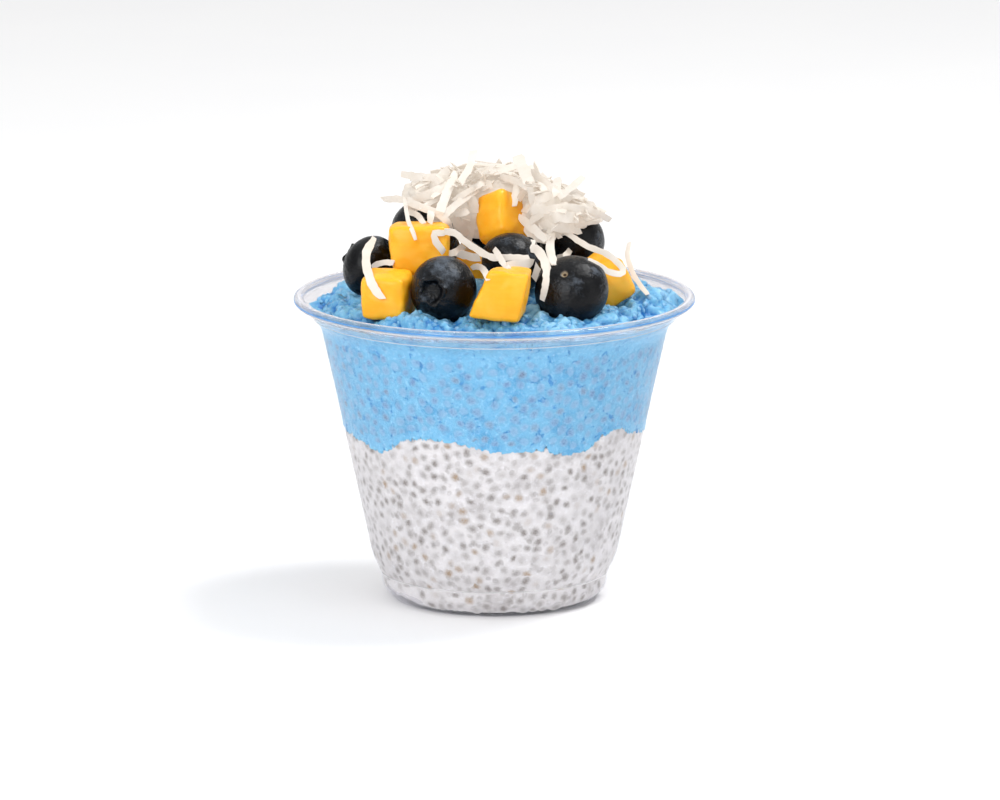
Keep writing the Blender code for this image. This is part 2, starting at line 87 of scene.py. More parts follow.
# Painted bands on the profile: a milky haze that is partly the plastic's own and partly a painted
# highlight, and a painted blue reflection of the pudding: radius, height, reach in mm and how much
CUP_TINTS = {
    "haze_and_highlight": ((47.8, 75.1, 0.55, 0.6), (48.7, 73.35, 0.42, 0.7), (47.4, 73.2, 0.8, 0.22),
             (44.75, 70.5, 0.18, 0.8), (46.2, 71.8, 1.4, 0.12), (28.1, 6.8, 0.16, 0.65)),
    "blue": ((48.98, 74.15, 0.22, 0.85), (48.0, 73.1, 0.2, 0.3), (44.0, 69.4, 0.14, 0.55)),
}
# Where the plastic starts to be thick, in the flare, and where it is as thick as it gets
THICK_FROM = 67.5
THICK_TO = 70.5
# The wall line leaves the base out, which lies within this radius
BASE_RADIUS = 25.0
# Vertices this near are one, when a shape has been turned and when a node is copied
TURNED_MERGE = 0.0005
NODE_MERGE = 0.001

# The pudding reaches this far into the wall, so that no air shows, and takes in what lies this near
WHITE_SUNK = 0.12
BLUE_SUNK = 0.09
NEAR_WALL = 1.3
WHITE_VOXEL = 0.6
BLUE_VOXEL = 0.5
# The seam: the white layer's top is raised over its last mm, in waves, and the blue reaches behind it
SEAM_ABOVE = 30
SEAM_LIFT = 0.6
SEAM_REACH = 3.0
SEAM_BEHIND = 1.6
# Waves are heights and widths in mm, then a shift of the pattern
STILL = (0, 0, 0)
SEAM_WAVES = ((0.8, 4.0, STILL), (0.4, 1.7, STILL))
# In the foot's corner a little air stays, save at the front: heights, widths in mm and degrees
FOOT_TOP = 22.0
FOOT_NEAR = 2.8
FOOT_GAP = 1.5
FOOT_GAP_TOP = 4.5
FOOT_FULL_AT = 75.0
FOOT_FULL_WIDTH = 50.0
FOOT_FULL_FADE = 40
FOOT_INNER = 20
FOOT_INNER_FADE = 6
FOOT_LUMPS = ((0.5, 3.0, STILL),)
FOOT_LUMP_LEVEL = 0.6
# The blue layer's edge climbs the flare at the front
BLUE_TOP_FROM = 66
EDGE_LIFT = 3.8
EDGE_LIFT_OVER = 3
EDGE_TOP = 72.7
EDGE_WAVES = ((1.2, 4.0, STILL), (0.5, 1.8, STILL))
# Clumps of the blue top, with crumbs and grains on them as height, width and sharpness
CLUMPS = ((1.9, 6.5, (4, 1, 7)), (0.8, 3.2, (9, 3, 2)))
CRUMB_BEND = (1.5, 3.0)
CRUMBS = (1.0, 2.9, 2.2)
GRAINS = (0.45, 1.3, 2.4)
CREASE_WIDTH = 0.4
CLUMP_LEVEL = 0.75
CLUMP_RISE = 0.35
# Lumps and dips of the top: direction in degrees, rise in mm, width in degrees, radius in mm
TOP_LUMPS = (
    (166, 2.4, 5, 43), (156, -1.6, 4, 43), (148, 1.2, 5, 42), (-12, 2.8, 9, 38), (-42, 1.8, 6, 40),
    (-64, 1.4, 5, 41), (-128, 1.6, 6, 38), (-112, 1.2, 5, 41), (12, 1.6, 6, 42), (30, 1.2, 8, 40),
    (98, 1.4, 8, 40), (70, -1.2, 6, 42), (205, 1.2, 6, 41), (228, -1.0, 5, 42),
)
TOP_LUMP_DEPTH = 5.0

# Gel: sRGB colours, the size of its clouds in mm, and how much of the noise is cloud, hole or seed
GELS = {
    "white": {
        "light": "DAD7D6", "shade": "C6C2C1", "cloud": 8.0, "cloud_from": 0.50, "cloud_to": 0.74,
        "deep": "8F8985", "buried": 0.45, "dark": "ACA7A5", "spots_from": 0.64, "spots": 0.35,
        "bright": "ECEBED", "mottle": 0.6, "bump": 0.2,
    },
    "blue": {
        "light": "74B4D8", "shade": "579FCC", "cloud": 5.5, "cloud_from": 0.46, "cloud_to": 0.72,
        "deep": "5A7FB0", "buried": 0.40, "dark": "2F7FBE", "spots_from": 0.60, "spots": 0.75,
        "bright": "9ECDE9", "mottle": 0.7, "bump": 0.5,
    },
}
# Light sinks this far into the gel, in mm: red, green, blue
GEL_DEPTH = (1.2 * MM, 1.2 * MM, 1.4 * MM)
# Seeds inside the gel: room for each, radius, and how much of their length is taken off to flatten them
BURIED_ROOM = 2.3
BURIED_RADIUS = 0.8
BURIED_CORE = 0.55
BURIED_STRETCH = 0.35
# Seeds that show: sRGB colours of core and rim, and how raggedly the core fades
SEEDS = {
    "white": {"core": "6E645D", "brown": "997645", "rim": "ABA5A2", "fade": (0.08, 1.0), "ragged": 0.9},
    "blue": {"core": "4A6FA0", "brown": "56607A", "rim": "A4C4E6", "fade": (0.12, 0.95), "ragged": 1.2},
}
# Tints run from 0 to 1, and those above this are brown
SEED_TINT_BROWN = 0.86
# Swollen chia seeds at the wall: half length and half width, room for each, and the random draw
WALL_SEEDS = {"white": ((1.65, 1.28), 2.4, 11), "blue": ((1.50, 1.25), 2.9, 12)}
WALL_SEED_SWELL = 0.04
WALL_SEED_GROWTH = (0.82, 1.12)
WALL_SEED_WIDTH = (0.88, 1.15)
WALL_SEED_GAP = (0.80, 1.12)
SEED_TRIES = 26000
WIDEST_WALL = 45
SEEDS_FROM = 1.8
SEEDS_TO = 65.8
# How far the seeds keep below and above the seam, and below the blue layer's edge
SEEDS_UNDER_SEAM = 0.9
SEEDS_OVER_SEAM = 1.1
SEEDS_UNDER_EDGE = 0.8
# Some seeds lie deeper: their share, and how clearly deep ones and the others show
DEEP_SEEDS = 0.38
DEEP_SEED_SHOW = (0.10, 0.45)
SEED_SHOW = (0.45, 0.9)
LENS_RINGS = (0.4, 0.75, 1.0)
LENS_SIDES = 12
# Seeds that stand out of the top: half sizes and room in mm, and the draws of each
TOP_SEED_SIZE = (1.0, 0.78, 0.70)
TOP_SEED_ROOM = 3.0
TOP_SEED_TRIES = 9000
TOP_SEED_DRAW = 13
TOP_SEEDS_FROM = 68
TOP_SEED_OFF_WALL = 0.8
TOP_SEED_UPRIGHT = 0.25
TOP_SEED_TILT = 0.5
TOP_SEED_GROWTH = (0.75, 1.05)
TOP_SEED_RAISED = (-0.75, -0.25)
TOP_SEED_SHOW = 0.5

# Blueberries: centre and radius in mm, height as a share of width, where the crown points
BLUEBERRIES = {
    "front_left": ((-12.2, -27.0, 81.5), 8.0, 0.98, (-0.40, -0.90, 0.10)),
    "front_right": ((18.6, -24.5, 80.7), 9.0, 0.82, (0.24, 0.68, -0.68)),
    "left": ((-30.2, -4.0, 82.8), 7.6, 0.80, (-0.80, 0.52, 0.30)),
    "upper_left": ((-17.2, 6.2, 89.5), 8.1, 0.90, (0.35, 0.65, 0.65)),
    "middle": ((4.4, -14.0, 85.4), 7.8, 0.88, (0.50, 0.62, 0.60)),
    "upper_right": ((19.1, 6.5, 86.4), 8.1, 0.90, (-0.50, 0.75, 0.40)),
    "back_right": ((13.3, 23.8, 80.8), 7.7, 0.88, (0.45, 0.80, 0.40)),
    "back_left": ((-16.2, 22.8, 81.0), 8.0, 0.90, (-0.20, 0.75, -0.60)),
    "upper_back": ((0.2, 18.4, 89.6), 7.5, 0.88, (-0.35, 0.90, 0.20)),
}
# A berry's profile in shares of its radius and half height, from the crown's pit over its rim
CROWN = ((0.0, 0.74), (0.10, 0.73), (0.19, 0.73), (0.25, 0.76), (0.295, 0.84), (0.33, 0.93),
         (0.365, 0.985), (0.40, 0.99), (0.43, 0.955), (0.455, 0.91), (0.485, 0.885), (0.515, 0.865))
STEM_SCAR = ((0.155, -0.995), (0.125, -0.998), (0.095, -0.975), (0.06, -0.93), (0.0, -0.915))
STEM_SCAR_RADIUS = 0.11
BERRY_RINGS = 44
BERRY_STEPS = 72
# The round part of the profile, in degrees from the crown's middle
BERRY_FROM = 33
BERRY_TO = 170
# The crown's rim: where it is, how wide, its lobes, and how they spread, rise and crumple
CROWN_RIM = 0.39
CROWN_RIM_WIDTH = 0.07
CROWN_LOBES = 5
CROWN_UNEVENNESS = 1.4
LOBE_SPREAD = 0.30
LOBE_PINCH = 0.06
LOBE_RISE = 0.05
LOBE_SINK = 0.06
CROWN_CRUMPLE = (0.05, 11)
# Dents of a berry as shares of its radius: depth and how fine
BERRY_DENTS = ((0.022, 1.3), (0.008, 3.4), (0.0035, 9))

# Mango pieces: centre, size, turns in degrees, how far the top is pushed to +X and how much
# narrower the bottom is, both as shares, then the draw that makes its cuts uneven
MANGO_CUBES = {
    "upper_left": ((-18.0, -11.8, 88.5), (15.4, 10.4, 12.2), (-4, 1, -4), 0.0, 0.18, 3),
    "left": ((-25.7, -23.8, 79.4), (11.2, 11.2, 11.0), (2, 3, -14), -0.06, 0.0, 8),
    "top": ((2.3, 2.2, 93.1), (12.2, 9.8, 12.4), (-25, 24, 44), 0.0, 0.0, 5),
    "front": ((2.3, -34.2, 81.9), (9.8, 10.8, 12.0), (-2, 3, -8), 0.23, -0.26, 2),
    "right": ((25.7, -8.7, 79.7), (12.0, 12.0, 10.8), (8, -27, 30), 0.0, 0.0, 7),
    "inner": ((-5.0, 1.6, 79.0), (9.4, 11.0, 11.2), (0, 4, -6), 0.0, 0.0, 4),
    "back": ((-1.6, 30.8, 78.8), (12.4, 11.6, 11.6), (-3, 5, 12), 0.1, 0.0, 6),
    "back_left": ((-28.6, 12.6, 78.6), (11.8, 12.4, 11.0), (4, -6, 28), 0.0, 0.08, 9),
    "back_right": ((25.4, 16.6, 76.8), (9.8, 9.4, 8.6), (3, 7, -38), 0.0, -0.06, 1),
}
CUT_UNEVENNESS = 0.07
# How square a piece is: 2 would be an egg, and the more, the sharper its edges
MANGO_POWERS = {"upper_left": 9.0, "top": 5.5, "right": 8.0, "left": 8.5, "front": 13.0}
MANGO_POWER = 8.0
MANGO_CUTS = 30
# Its faces are a little cushioned, wavy and stringy, in mm
MANGO_CUSHION = 0.3
MANGO_TRIM = 0.1
MANGO_WAVES = ((0.55, 6.0, STILL), (0.22, 2.4, STILL))
MANGO_FIBRE = 0.03
FIBRE_LENGTH = 7
FIBRE_WIDTH = 1.2

# Coconut: the mounds of the part, each a centre and half sizes in mm, how deep each core reaches
# below its centre, as a share, and how many shreds lie along it
MOUNDS = (
    ((0.0, 14.5, 95.2), (19.0, 13.0, 7.6), 1.1, 170),
    ((14.6, 3.0, 94.0), (9.0, 8.0, 5.8), 0.85, 90),
    ((-13.5, 8.0, 97.6), (9.0, 8.5, 5.0), 0.6, 85),
)
CORE_UNEVENNESS = (0.14, 2.3)
CORE_ROUGHNESS = ((0.5, 1.6, STILL), (0.35, 0.8, STILL))
# The share of the light on a shred that comes out at its other side
SHRED_GLOW = 0.12
# A painted glow: emission on the shreds that stands in for the light that goes to and fro between
# white shreds, deep in the heap
SHRED_PAINTED_GLOW = 0.22
SCATTER_SEED = 7
# Each shred: thickness and spacing of its points in mm, then the most that it twists in radians, is
# cupped and is cut askew as shares of its width, and how narrow its ends are
STRIP_THICKNESS = 0.28
STRIP_STEP = 0.8
STRIP_TWIST = 0.5
STRIP_CUP = 0.08
STRIP_CUT = 0.6
STRIP_ENDS = (0.55, 1.0)
STRIP_ENDS_REACH = 0.16
STRIP_THICKNESSES = (0.75, 1.15)
# Its edges are ragged, by share, run along it and across it, and it is a little wavy
STRIP_RAGS = ((0.24, 0.5, 1, 0), (0.22, 1.7, 3, 5))
STRIP_WAVE = 0.12
STRIP_WAVE_RUN = 0.4
# Shreds that lean on a mound, and that have dropped on the heap: length and width in mm
COMBED_LENGTH = (9, 20)
COMBED_WIDTH = (1.4, 2.8)
COMBED_LAYER = (-0.1, 1.2)
COMBED_TRIES = 12
COMBED_LOWEST = -0.45
COMBED_TILT = 0.30
COMBED_BOW = (-0.02, 0.10)
COMBED_SWAY = 0.10
COMBED_SHIFT = 0.3
COMBED_ROLL = 0.45
CLEAR_OF_FRUIT = 0.35
STANDING_OUT = (0.0, 0.5, 1.5, 3.0)
FALLEN_STRIPS = 45
FALLEN_TRIES = 6
FALLEN_SHARES = (6, 3, 2)
FALLEN_REACH = 1.05
FALLEN_LENGTH = (6, 16)
FALLEN_WIDTH = (1.1, 2.3)
FALLEN_BOW = 0.12
FALLEN_BOW_MIDDLE = 0.4
FALLEN_LIFT = (-0.02, 0.10)
FALLEN_STEEPEST = 1.1
FALLEN_BATCH = 20
DROP_FROM = 125
DEEPEST_DROP = 60.0
# How far a strip keeps off what it lies on, in mm, and how far back one lies that nothing holds
STRIP_REST = 0.12
NAMED_REST = 0.35
LOOSE_REST = 0.9
BACKDROP = 8.0
CURVE_PARTS = 12
# The heap's upper and lower outline as the camera sees it, as (x, height) in mm on the plane Y = 0
HEAP_TOP = ((-22, 95), (-20.6, 99.9), (-18, 102.0), (-14.1, 103.6), (-10.9, 104.6), (-7.6, 104.8),
            (-5, 105.8), (-1.1, 105.2), (2.2, 106.0), (5.4, 105.2), (9.3, 104.2), (12, 102.0),
            (15.2, 99.6), (18.5, 98.0), (21.1, 96.7), (25, 94.7), (27, 93))
HEAP_FOOT = ((-22, 95.5), (-17, 94.6), (-12, 92.5), (-9.0, 93.0), (-7.3, 98.0), (-3.5, 100.8),
             (1, 102.4), (5.2, 101.4), (8.6, 99.6), (9.2, 96), (9.6, 92), (11, 88.5), (14, 87.5),
             (18, 90.3), (22, 92.2), (27, 93.2))
# Strips that the photograph shows, each its width and its middle line in mm, as (x, height) where
# the sight lines from the camera meet the plane Y = 0. Each lies on what stands there.
STRIPS = {
    "left_tip": (1.7, ((-19, 97.8), (-21.7, 98.4), (-24.5, 98.6), (-27.3, 98.5))),
    "left_high": (1.9, ((-10, 103), (-13.4, 103.8), (-18.1, 104.1), (-22.7, 104.8))),
    "thin_left": (1.0, ((-22, 99), (-21.8, 98.4), (-21.1, 93.7), (-20.2, 91.3), (-19.2, 88.5))),
    "left_slope": (1.9, ((-21.1, 97.9), (-17, 96.4), (-14, 95.2), (-11.9, 93.4), (-10.7, 91.0))),
    "left_under": (1.5, ((-20.9, 95.5), (-18.7, 94.6), (-17.3, 92.6))),
    "left_short": (1.8, ((-15.2, 96.8), (-15.4, 95.2), (-15.8, 92.6))),
    "over_top_cube": (2.0, ((-5.2, 99.5), (-5.5, 96.5), (-5.7, 93), (-6.3, 88.2))),
    "to_top_cube": (1.8, ((-11.4, 99), (-10.2, 97.4), (-8.1, 95.2), (-6, 94))),
    "shaded_left": (1.6, ((-9.3, 96.4), (-9.3, 90.8))),
    "cross_left": (1.4, ((-29.9, 81.7), (-27.3, 82.9), (-24.6, 82.9))),
    "curl": (1.6, ((-12.2, 90.2), (-14.6, 90.2), (-14.3, 88.3), (-13.1, 86.5), (-11.6, 85.1), (-9.3, 85.6),
                   (-7.6, 87.1))),
    "long_front": (1.6, ((-12.3, 90.6), (-9.6, 90.2), (-7.5, 88.3), (-5.2, 86.8), (-2.8, 85.2), (-0.7, 84.3),
                         (1.4, 84.1), (4.8, 84.2), (8.6, 84.0))),
    "shaded_front": (2.0, ((-9.0, 85.2), (-5.7, 84.4), (-3.5, 84.0))),
    "hook": (1.6, ((-5.6, 81.4), (-4.5, 81.9), (-3.2, 81.6), (-2.2, 80.5), (-1.6, 78.6))),
    "splinter": (1.5, ((-0.1, 86.3), (1.2, 84.4), (2.2, 82.7), (3.4, 81.4))),
    "shaded_middle": (2.2, ((3.2, 82.4), (6.5, 82.3), (9.6, 83.0))),
    "corner": (2.2, ((9.5, 78.8), (10.5, 82.4))),
    "drop": (2.2, ((9.4, 88.6), (8.9, 86.6), (10.2, 86.2), (11.5, 84.6), (12.6, 82.2), (12.9, 79.6),
                   (12.6, 76.6), (11.7, 73.4))),
    "stub": (2.1, ((13.9, 90.4), (13.6, 88), (13.7, 85.4), (14.6, 82.4))),
    "shaded_right": (1.6, ((15.2, 84.1), (17.2, 84.4), (18.5, 86.1))),
    "loop_right": (1.5, ((16.2, 91.2), (20.1, 88.6), (23, 86.8), (26.9, 85.3), (29.6, 83.3), (31.4, 81.2),
                         (30.6, 80.1), (27.5, 80.8), (25.4, 82.3), (22.8, 83.7))),
    "twig": (1.4, ((15.6, 96), (15.2, 93.4), (14.2, 91.6), (12.8, 90.2))),
    "over_cube_right": (1.7, ((5.8, 103.6), (5.2, 100.4), (4.7, 96.9))),
    "over_corner_right": (1.5, ((8.4, 102.6), (7.2, 100.6), (5.8, 98.2))),
    "inner_fall": (2.2, ((-10.6, 101.6), (-8.4, 98.6), (-7.0, 95.0), (-6.8, 92.0))),
    "inner_cross": (2.0, ((-12.8, 96.6), (-9.4, 95.2), (-6.4, 95.8))),
    "inner_low": (2.1, ((-10.2, 94.4), (-8.2, 91.8), (-6.4, 89.8))),
    "inner_fill": (2.2, ((-8.8, 100.6), (-5.6, 98.6), (-4.6, 95.2))),
    "corner_left": (1.8, ((-13.6, 93.4), (-9.2, 97.4), (-4.2, 101.2))),
    "corner_left_low": (1.5, ((-10.0, 98.2), (-6.2, 100.6), (-1.8, 103.4))),
    "corner_right": (1.7, ((1.4, 104.2), (6.4, 102.6), (11.6, 99.0))),
    "corner_right_low": (1.6, ((8.6, 101.6), (9.2, 98.4), (10.0, 94.0))),
    "blob_low": (2.5, ((7.4, 91.6), (10.2, 89.4), (13.2, 88.6))),
    "shelf": (2.6, ((11.0, 93.2), (15.7, 94.3), (20.6, 93.7))),
    "shelf_low": (2.3, ((9.8, 91.4), (14.0, 92.6), (18.8, 92.4))),
    "fan_mid": (2.4, ((7.0, 96.4), (10.6, 96.0), (16.2, 98.2))),
    "fan_steep": (2.2, ((8.2, 93.6), (11.2, 98.0), (14.8, 101.6))),
    "right_fan_low": (2.0, ((9.0, 95.4), (13.0, 98.2), (18.0, 100.4), (20.3, 100.2))),
    "right_fan": (2.2, ((8.4, 97.6), (13.6, 99.4), (19.0, 98.6))),
    "right_fan_high": (2.2, ((7.4, 105.8), (11.6, 103.0), (16.8, 99.4))),
    "left_fan": (2.4, ((-19.6, 98.6), (-14.0, 100.6), (-8.4, 104.4))),
    "left_fan_low": (2.2, ((-14.0, 93.2), (-12.2, 98.6), (-9.4, 105.4))),
    "right_tip": (1.5, ((18.5, 96.6), (22.4, 96.2), (25.4, 95.0), (28.2, 93.4))),
    "flat_right": (2.6, ((14.8, 91.8), (17.5, 91.5), (21, 91.0))),
    "slant": (2.1, ((5.9, 94.3), (9.8, 91), (12.5, 88.2))),
    "arch": (2.2, ((8.6, 92.8), (11.8, 95.5), (14.7, 96.2), (18.9, 96.4), (22.8, 95.2), (24.4, 94.0))),
    "sheet_top": (2.8, ((8.9, 101.8), (7.6, 104.6), (6.6, 107), (5.5, 109.4))),
    "spike_top": (1.8, ((-8.3, 102.8), (-6.2, 106.2), (-5.1, 110.6))),
    "spike_left": (2.3, ((-16, 101.6), (-12.9, 104.2), (-10.6, 106.5))),
    "spike_right": (1.7, ((15.6, 99), (19.2, 101.9), (21.6, 104.3))),
    "spike_short": (2.1, ((15.1, 99.4), (15.3, 104.0))),
}
LOOSE_STRIPS = {
    "left": (2.1, ((-29.2, 89.2), (-31, 85.9), (-31.3, 82.9), (-30.6, 79.6), (-29.1, 76.3), (-27.2, 73.9))),
    "right": (1.25, ((32.8, 87.9), (32.4, 85), (33.1, 82), (34.6, 78.7), (37.4, 75.0))),
}


def linear(colour):
    """An sRGB hex colour as linear RGBA."""
    shares = [int(colour[i:i + 2], 16) / 255 for i in (0, 2, 4)]
    return (*[c / 12.92 if c <= 0.04045 else ((c + 0.055) / 1.055) ** 2.4 for c in shares], 1.0)


def new_material(name):
    made = bpy.data.materials.new(name)
    made.use_nodes = True
    return made


def set_inputs(material, node, inputs):
    """Gives a node's inputs values, sRGB hex colours, or links from outputs or whole nodes."""
    for name, value in inputs.items():
        if isinstance(value, bpy.types.Node):
            value = next(output for output in value.outputs if output.enabled)
        if isinstance(value, bpy.types.NodeSocket):
            material.node_tree.links.new(value, node.inputs[name])
        else:
            node.inputs[name].default_value = linear(value) if isinstance(value, str) else value
    return node


def add(material, kind, inputs=None, stops=(), **settings):
    """Adds a node with its settings, its ramp stops and its inputs."""
    node = material.node_tree.nodes.new("ShaderNode" + kind)
    for name, value in settings.items():
        setattr(node, name, value)
    if stops:
        elements = node.color_ramp.elements
        while len(elements) < len(stops):
            elements.new(0.5)
        for element, (place, colour) in zip(elements, stops):
            element.position = place
            element.color = linear(colour) if isinstance(colour, str) else colour
    return set_inputs(material, node, inputs or {})


def shade(material, inputs):
    """Sets or links the inputs of the material's Principled shader."""
    return set_inputs(material, material.node_tree.nodes["Principled BSDF"], inputs)


def give_surface(material, shader):
    """Makes a shader the surface of the material."""
    set_inputs(material, material.node_tree.nodes["Material Output"], {"Surface": shader})


def in_millimetres(material):
    """The place on the object in millimetres, which every pattern's scale is given in."""
    place = add(material, "TexCoord")
    return add(material, "VectorMath", {0: place.outputs["Object"], "Scale": 1 / MM}, operation="SCALE")


def buried_seeds(material, place):
    """How much of a seed shows at a place, 0 to 1, for seeds strewn through the gel."""
    cells = add(material, "TexVoronoi", {"Vector": place, "Scale": 1 / BURIED_ROOM, "Randomness": 0.85})
    draw = add(material, "TexWhiteNoise", {"Vector": cells.outputs["Position"]})
    centred = add(material, "VectorMath", {0: draw.outputs["Color"], 1: (0.5, 0.5, 0.5)},
                  operation="SUBTRACT")
    axis = add(material, "VectorMath", {0: centred}, operation="NORMALIZE")
    off = add(material, "VectorMath", {0: place, 1: cells.outputs["Position"]}, operation="SUBTRACT")
    along = add(material, "VectorMath", {0: off, 1: axis}, operation="DOT_PRODUCT")
    kept = add(material, "Math", {0: along, 1: BURIED_STRETCH}, operation="MULTIPLY")
    back = add(material, "VectorMath", {0: axis, "Scale": kept}, operation="SCALE")
    squeezed = add(material, "VectorMath", {0: off, 1: back}, operation="SUBTRACT")
    far = add(material, "VectorMath", {0: squeezed}, operation="LENGTH")
    soft = add(material, "MapRange", {"Value": far, "From Min": BURIED_RADIUS * BURIED_CORE,
                                      "From Max": BURIED_RADIUS, "To Min": 1.0, "To Max": 0.0},
               interpolation_type="SMOOTHSTEP")
    strength = add(material, "MapRange", {"Value": draw.outputs["Value"], "To Min": 0.25})
    return add(material, "Math", {0: soft, 1: strength}, operation="MULTIPLY")


def gel_colour(material, place, kind):
    """The gel's own colour: milky, cloudier in places, with seeds showing faintly from inside."""
    look = GELS[kind]
    cloud = add(material, "TexNoise", {"Vector": place, "Scale": 1 / look["cloud"], "Detail": 5.0,
                                       "Roughness": 0.6})
    cloudy = add(material, "MapRange", {"Value": cloud, "From Min": look["cloud_from"],
                                        "From Max": look["cloud_to"]}, interpolation_type="SMOOTHSTEP")
    milk = add(material, "Mix", {"Factor": cloudy, 6: look["light"], 7: look["shade"]}, data_type="RGBA")
    faint = add(material, "Math", {0: buried_seeds(material, place), 1: look["buried"]}, operation="MULTIPLY")
    grainy = add(material, "Mix", {"Factor": faint, 6: milk, 7: look["deep"]}, data_type="RGBA")
    hole = add(material, "TexNoise", {"Vector": place, "Scale": 1 / 2.4, "Detail": 3.0, "Roughness": 0.6,
                                      "Distortion": 0.9})
    spot = add(material, "MapRange", {"Value": hole, "From Min": look["spots_from"],
                                      "From Max": look["spots_from"] + 0.06, "To Max": look["spots"]},
               interpolation_type="SMOOTHSTEP")
    spotted = add(material, "Mix", {"Factor": spot, 6: grainy, 7: look["dark"]}, data_type="RGBA")
    fine = add(material, "TexNoise", {"Vector": place, "Scale": 1 / 0.8, "Detail": 4.0, "Roughness": 0.7})
    streak = add(material, "MapRange", {"Value": fine, "From Min": 0.52, "From Max": 0.68,
                                        "To Max": look["mottle"]})
    return add(material, "Mix", {"Factor": streak, 6: spotted, 7: look["bright"]}, data_type="RGBA")


def gel_material(kind):
    """Chia gel: oat-white or blue-dyed jelly, wet and milky, so light sinks in a little.

    The blue top gets painted shade in its creases and a painted highlight on its raised tips.
    """
    made = new_material(kind.title() + " chia gel, set")
    place = in_millimetres(made)
    colour = gel_colour(made, place, kind)
    if kind == "blue":
        # Painted shade: a deeper blue in the top's creases and low spots
        crease_shade = add(made, "Attribute", attribute_name="crease_shade")
        deep = add(made, "Mix", {"Factor": crease_shade.outputs["Fac"], 6: colour, 7: "156FB8"}, data_type="RGBA")
        # Painted highlight: a paler blue on the top's raised tips
        raised = add(made, "Attribute", attribute_name="raised")
        colour = add(made, "Mix", {"Factor": raised.outputs["Fac"], 6: deep, 7: "A0CFEC"}, data_type="RGBA")
    grain = add(made, "TexNoise", {"Vector": place, "Scale": 1 / 0.7, "Detail": 3.0})
    bump = add(made, "Bump", {"Height": grain, "Strength": GELS[kind]["bump"], "Distance": 0.3 * MM})
    shade(made, {"Base Color": colour, "Roughness": 0.32, "IOR": 1.36, "Normal": bump,
                 "Subsurface Weight": 0.15, "Subsurface Radius": GEL_DEPTH, "Subsurface Scale": 1.0})
    return made


def seed_material(kind):
    """Swollen chia seed: a grey mottled core in clear jelly, which fades into the gel round it."""
    look = SEEDS[kind]
    made = new_material(kind.title() + " chia seed, soaked")
    place = in_millimetres(made)
    colour = gel_colour(made, place, kind)
    out = add(made, "Attribute", attribute_name="out").outputs["Fac"]
    tint = add(made, "Attribute", attribute_name="tint").outputs["Fac"]
    show = add(made, "Attribute", attribute_name="show").outputs["Fac"]
    mottle = add(made, "TexNoise", {"Vector": place, "Scale": 1 / 0.42, "Detail": 4.0, "Roughness": 0.85})
    brown = add(made, "Math", {0: tint, 1: SEED_TINT_BROWN}, operation="GREATER_THAN")
    core = add(made, "Mix", {"Factor": brown, 6: look["core"], 7: look["brown"]}, data_type="RGBA")
    flecked = add(made, "MapRange", {"Value": mottle, "From Min": 0.38, "From Max": 0.68, "To Max": 0.75})
    skin = add(made, "Mix", {"Factor": flecked, 6: core, 7: look["rim"]}, data_type="RGBA")
    ragged = add(made, "Math", {0: mottle, 1: look["ragged"], 2: out}, operation="MULTIPLY_ADD")
    shifted = add(made, "Math", {0: ragged, 1: look["ragged"] / 2}, operation="SUBTRACT")
    fade = add(made, "MapRange", {"Value": shifted, "From Min": look["fade"][0], "From Max": look["fade"][1],
                                  "To Min": 1.0, "To Max": 0.0}, interpolation_type="SMOOTHSTEP")
    shown = add(made, "Math", {0: fade, 1: show}, operation="MULTIPLY")
    if kind == "blue":
        halo = add(made, "MapRange", {"Value": out, "From Min": 0.60, "From Max": 0.95, "To Min": 0.35,
                                      "To Max": 0.0}, interpolation_type="SMOOTHSTEP")
        colour = add(made, "Mix", {"Factor": halo, 6: colour, 7: look["rim"]}, data_type="RGBA")
    mixed = add(made, "Mix", {"Factor": shown, 6: colour, 7: skin}, data_type="RGBA")
    shade(made, {"Base Color": mixed, "Roughness": 0.30, "IOR": 1.36,
                 "Subsurface Weight": 0.15, "Subsurface Radius": GEL_DEPTH, "Subsurface Scale": 1.0})
    return made


def clear_plastic():
    """PET, thermoformed: clear and glossy, a little milky at its rolls, and lamps shine through it.

    Its rolls also carry painted highlights and a painted blue reflection of the pudding.
    """
    made = new_material("Clear PET, thermoformed")
    height = add(made, "SeparateXYZ", {"Vector": in_millimetres(made)})
    thick = add(made, "MapRange", {"Value": height.outputs["Z"], "From Min": THICK_FROM,
                                   "From Max": THICK_TO}, interpolation_type="SMOOTHSTEP")
    cast = add(made, "Mix", {"Factor": thick, 6: "FCFCFE", 7: "F8F7F9"}, data_type="RGBA")
    clear = shade(made, {"Base Color": cast, "Roughness": 0.03, "IOR": 1.38, "Transmission Weight": 1.0})
    path = add(made, "LightPath")
    lit = add(made, "Math", {0: path.outputs["Is Shadow Ray"], 1: path.outputs["Is Diffuse Ray"]},
              operation="MAXIMUM")
    open_share = add(made, "MapRange", {"Value": thick, "To Min": 0.72, "To Max": 0.45})
    passed = add(made, "Math", {0: lit, 1: open_share}, operation="MAXIMUM")
    through = add(made, "BsdfTransparent", {"Color": cast})
    whole = add(made, "MixShader", {"Fac": passed, 1: clear, 2: through})
    # Painted bands as diffuse colour: a painted highlight that is partly milky plastic, and a painted blue
    # reflection
    for tint, colour in (("haze_and_highlight", "DFDDDE"), ("blue", "4A8FD0")):
        share = add(made, "Attribute", attribute_name=tint)
        painted_band = add(made, "BsdfDiffuse", {"Color": colour})
        whole = add(made, "MixShader", {"Fac": share.outputs["Fac"], 1: whole, 2: painted_band})
    give_surface(made, whole)
    return made


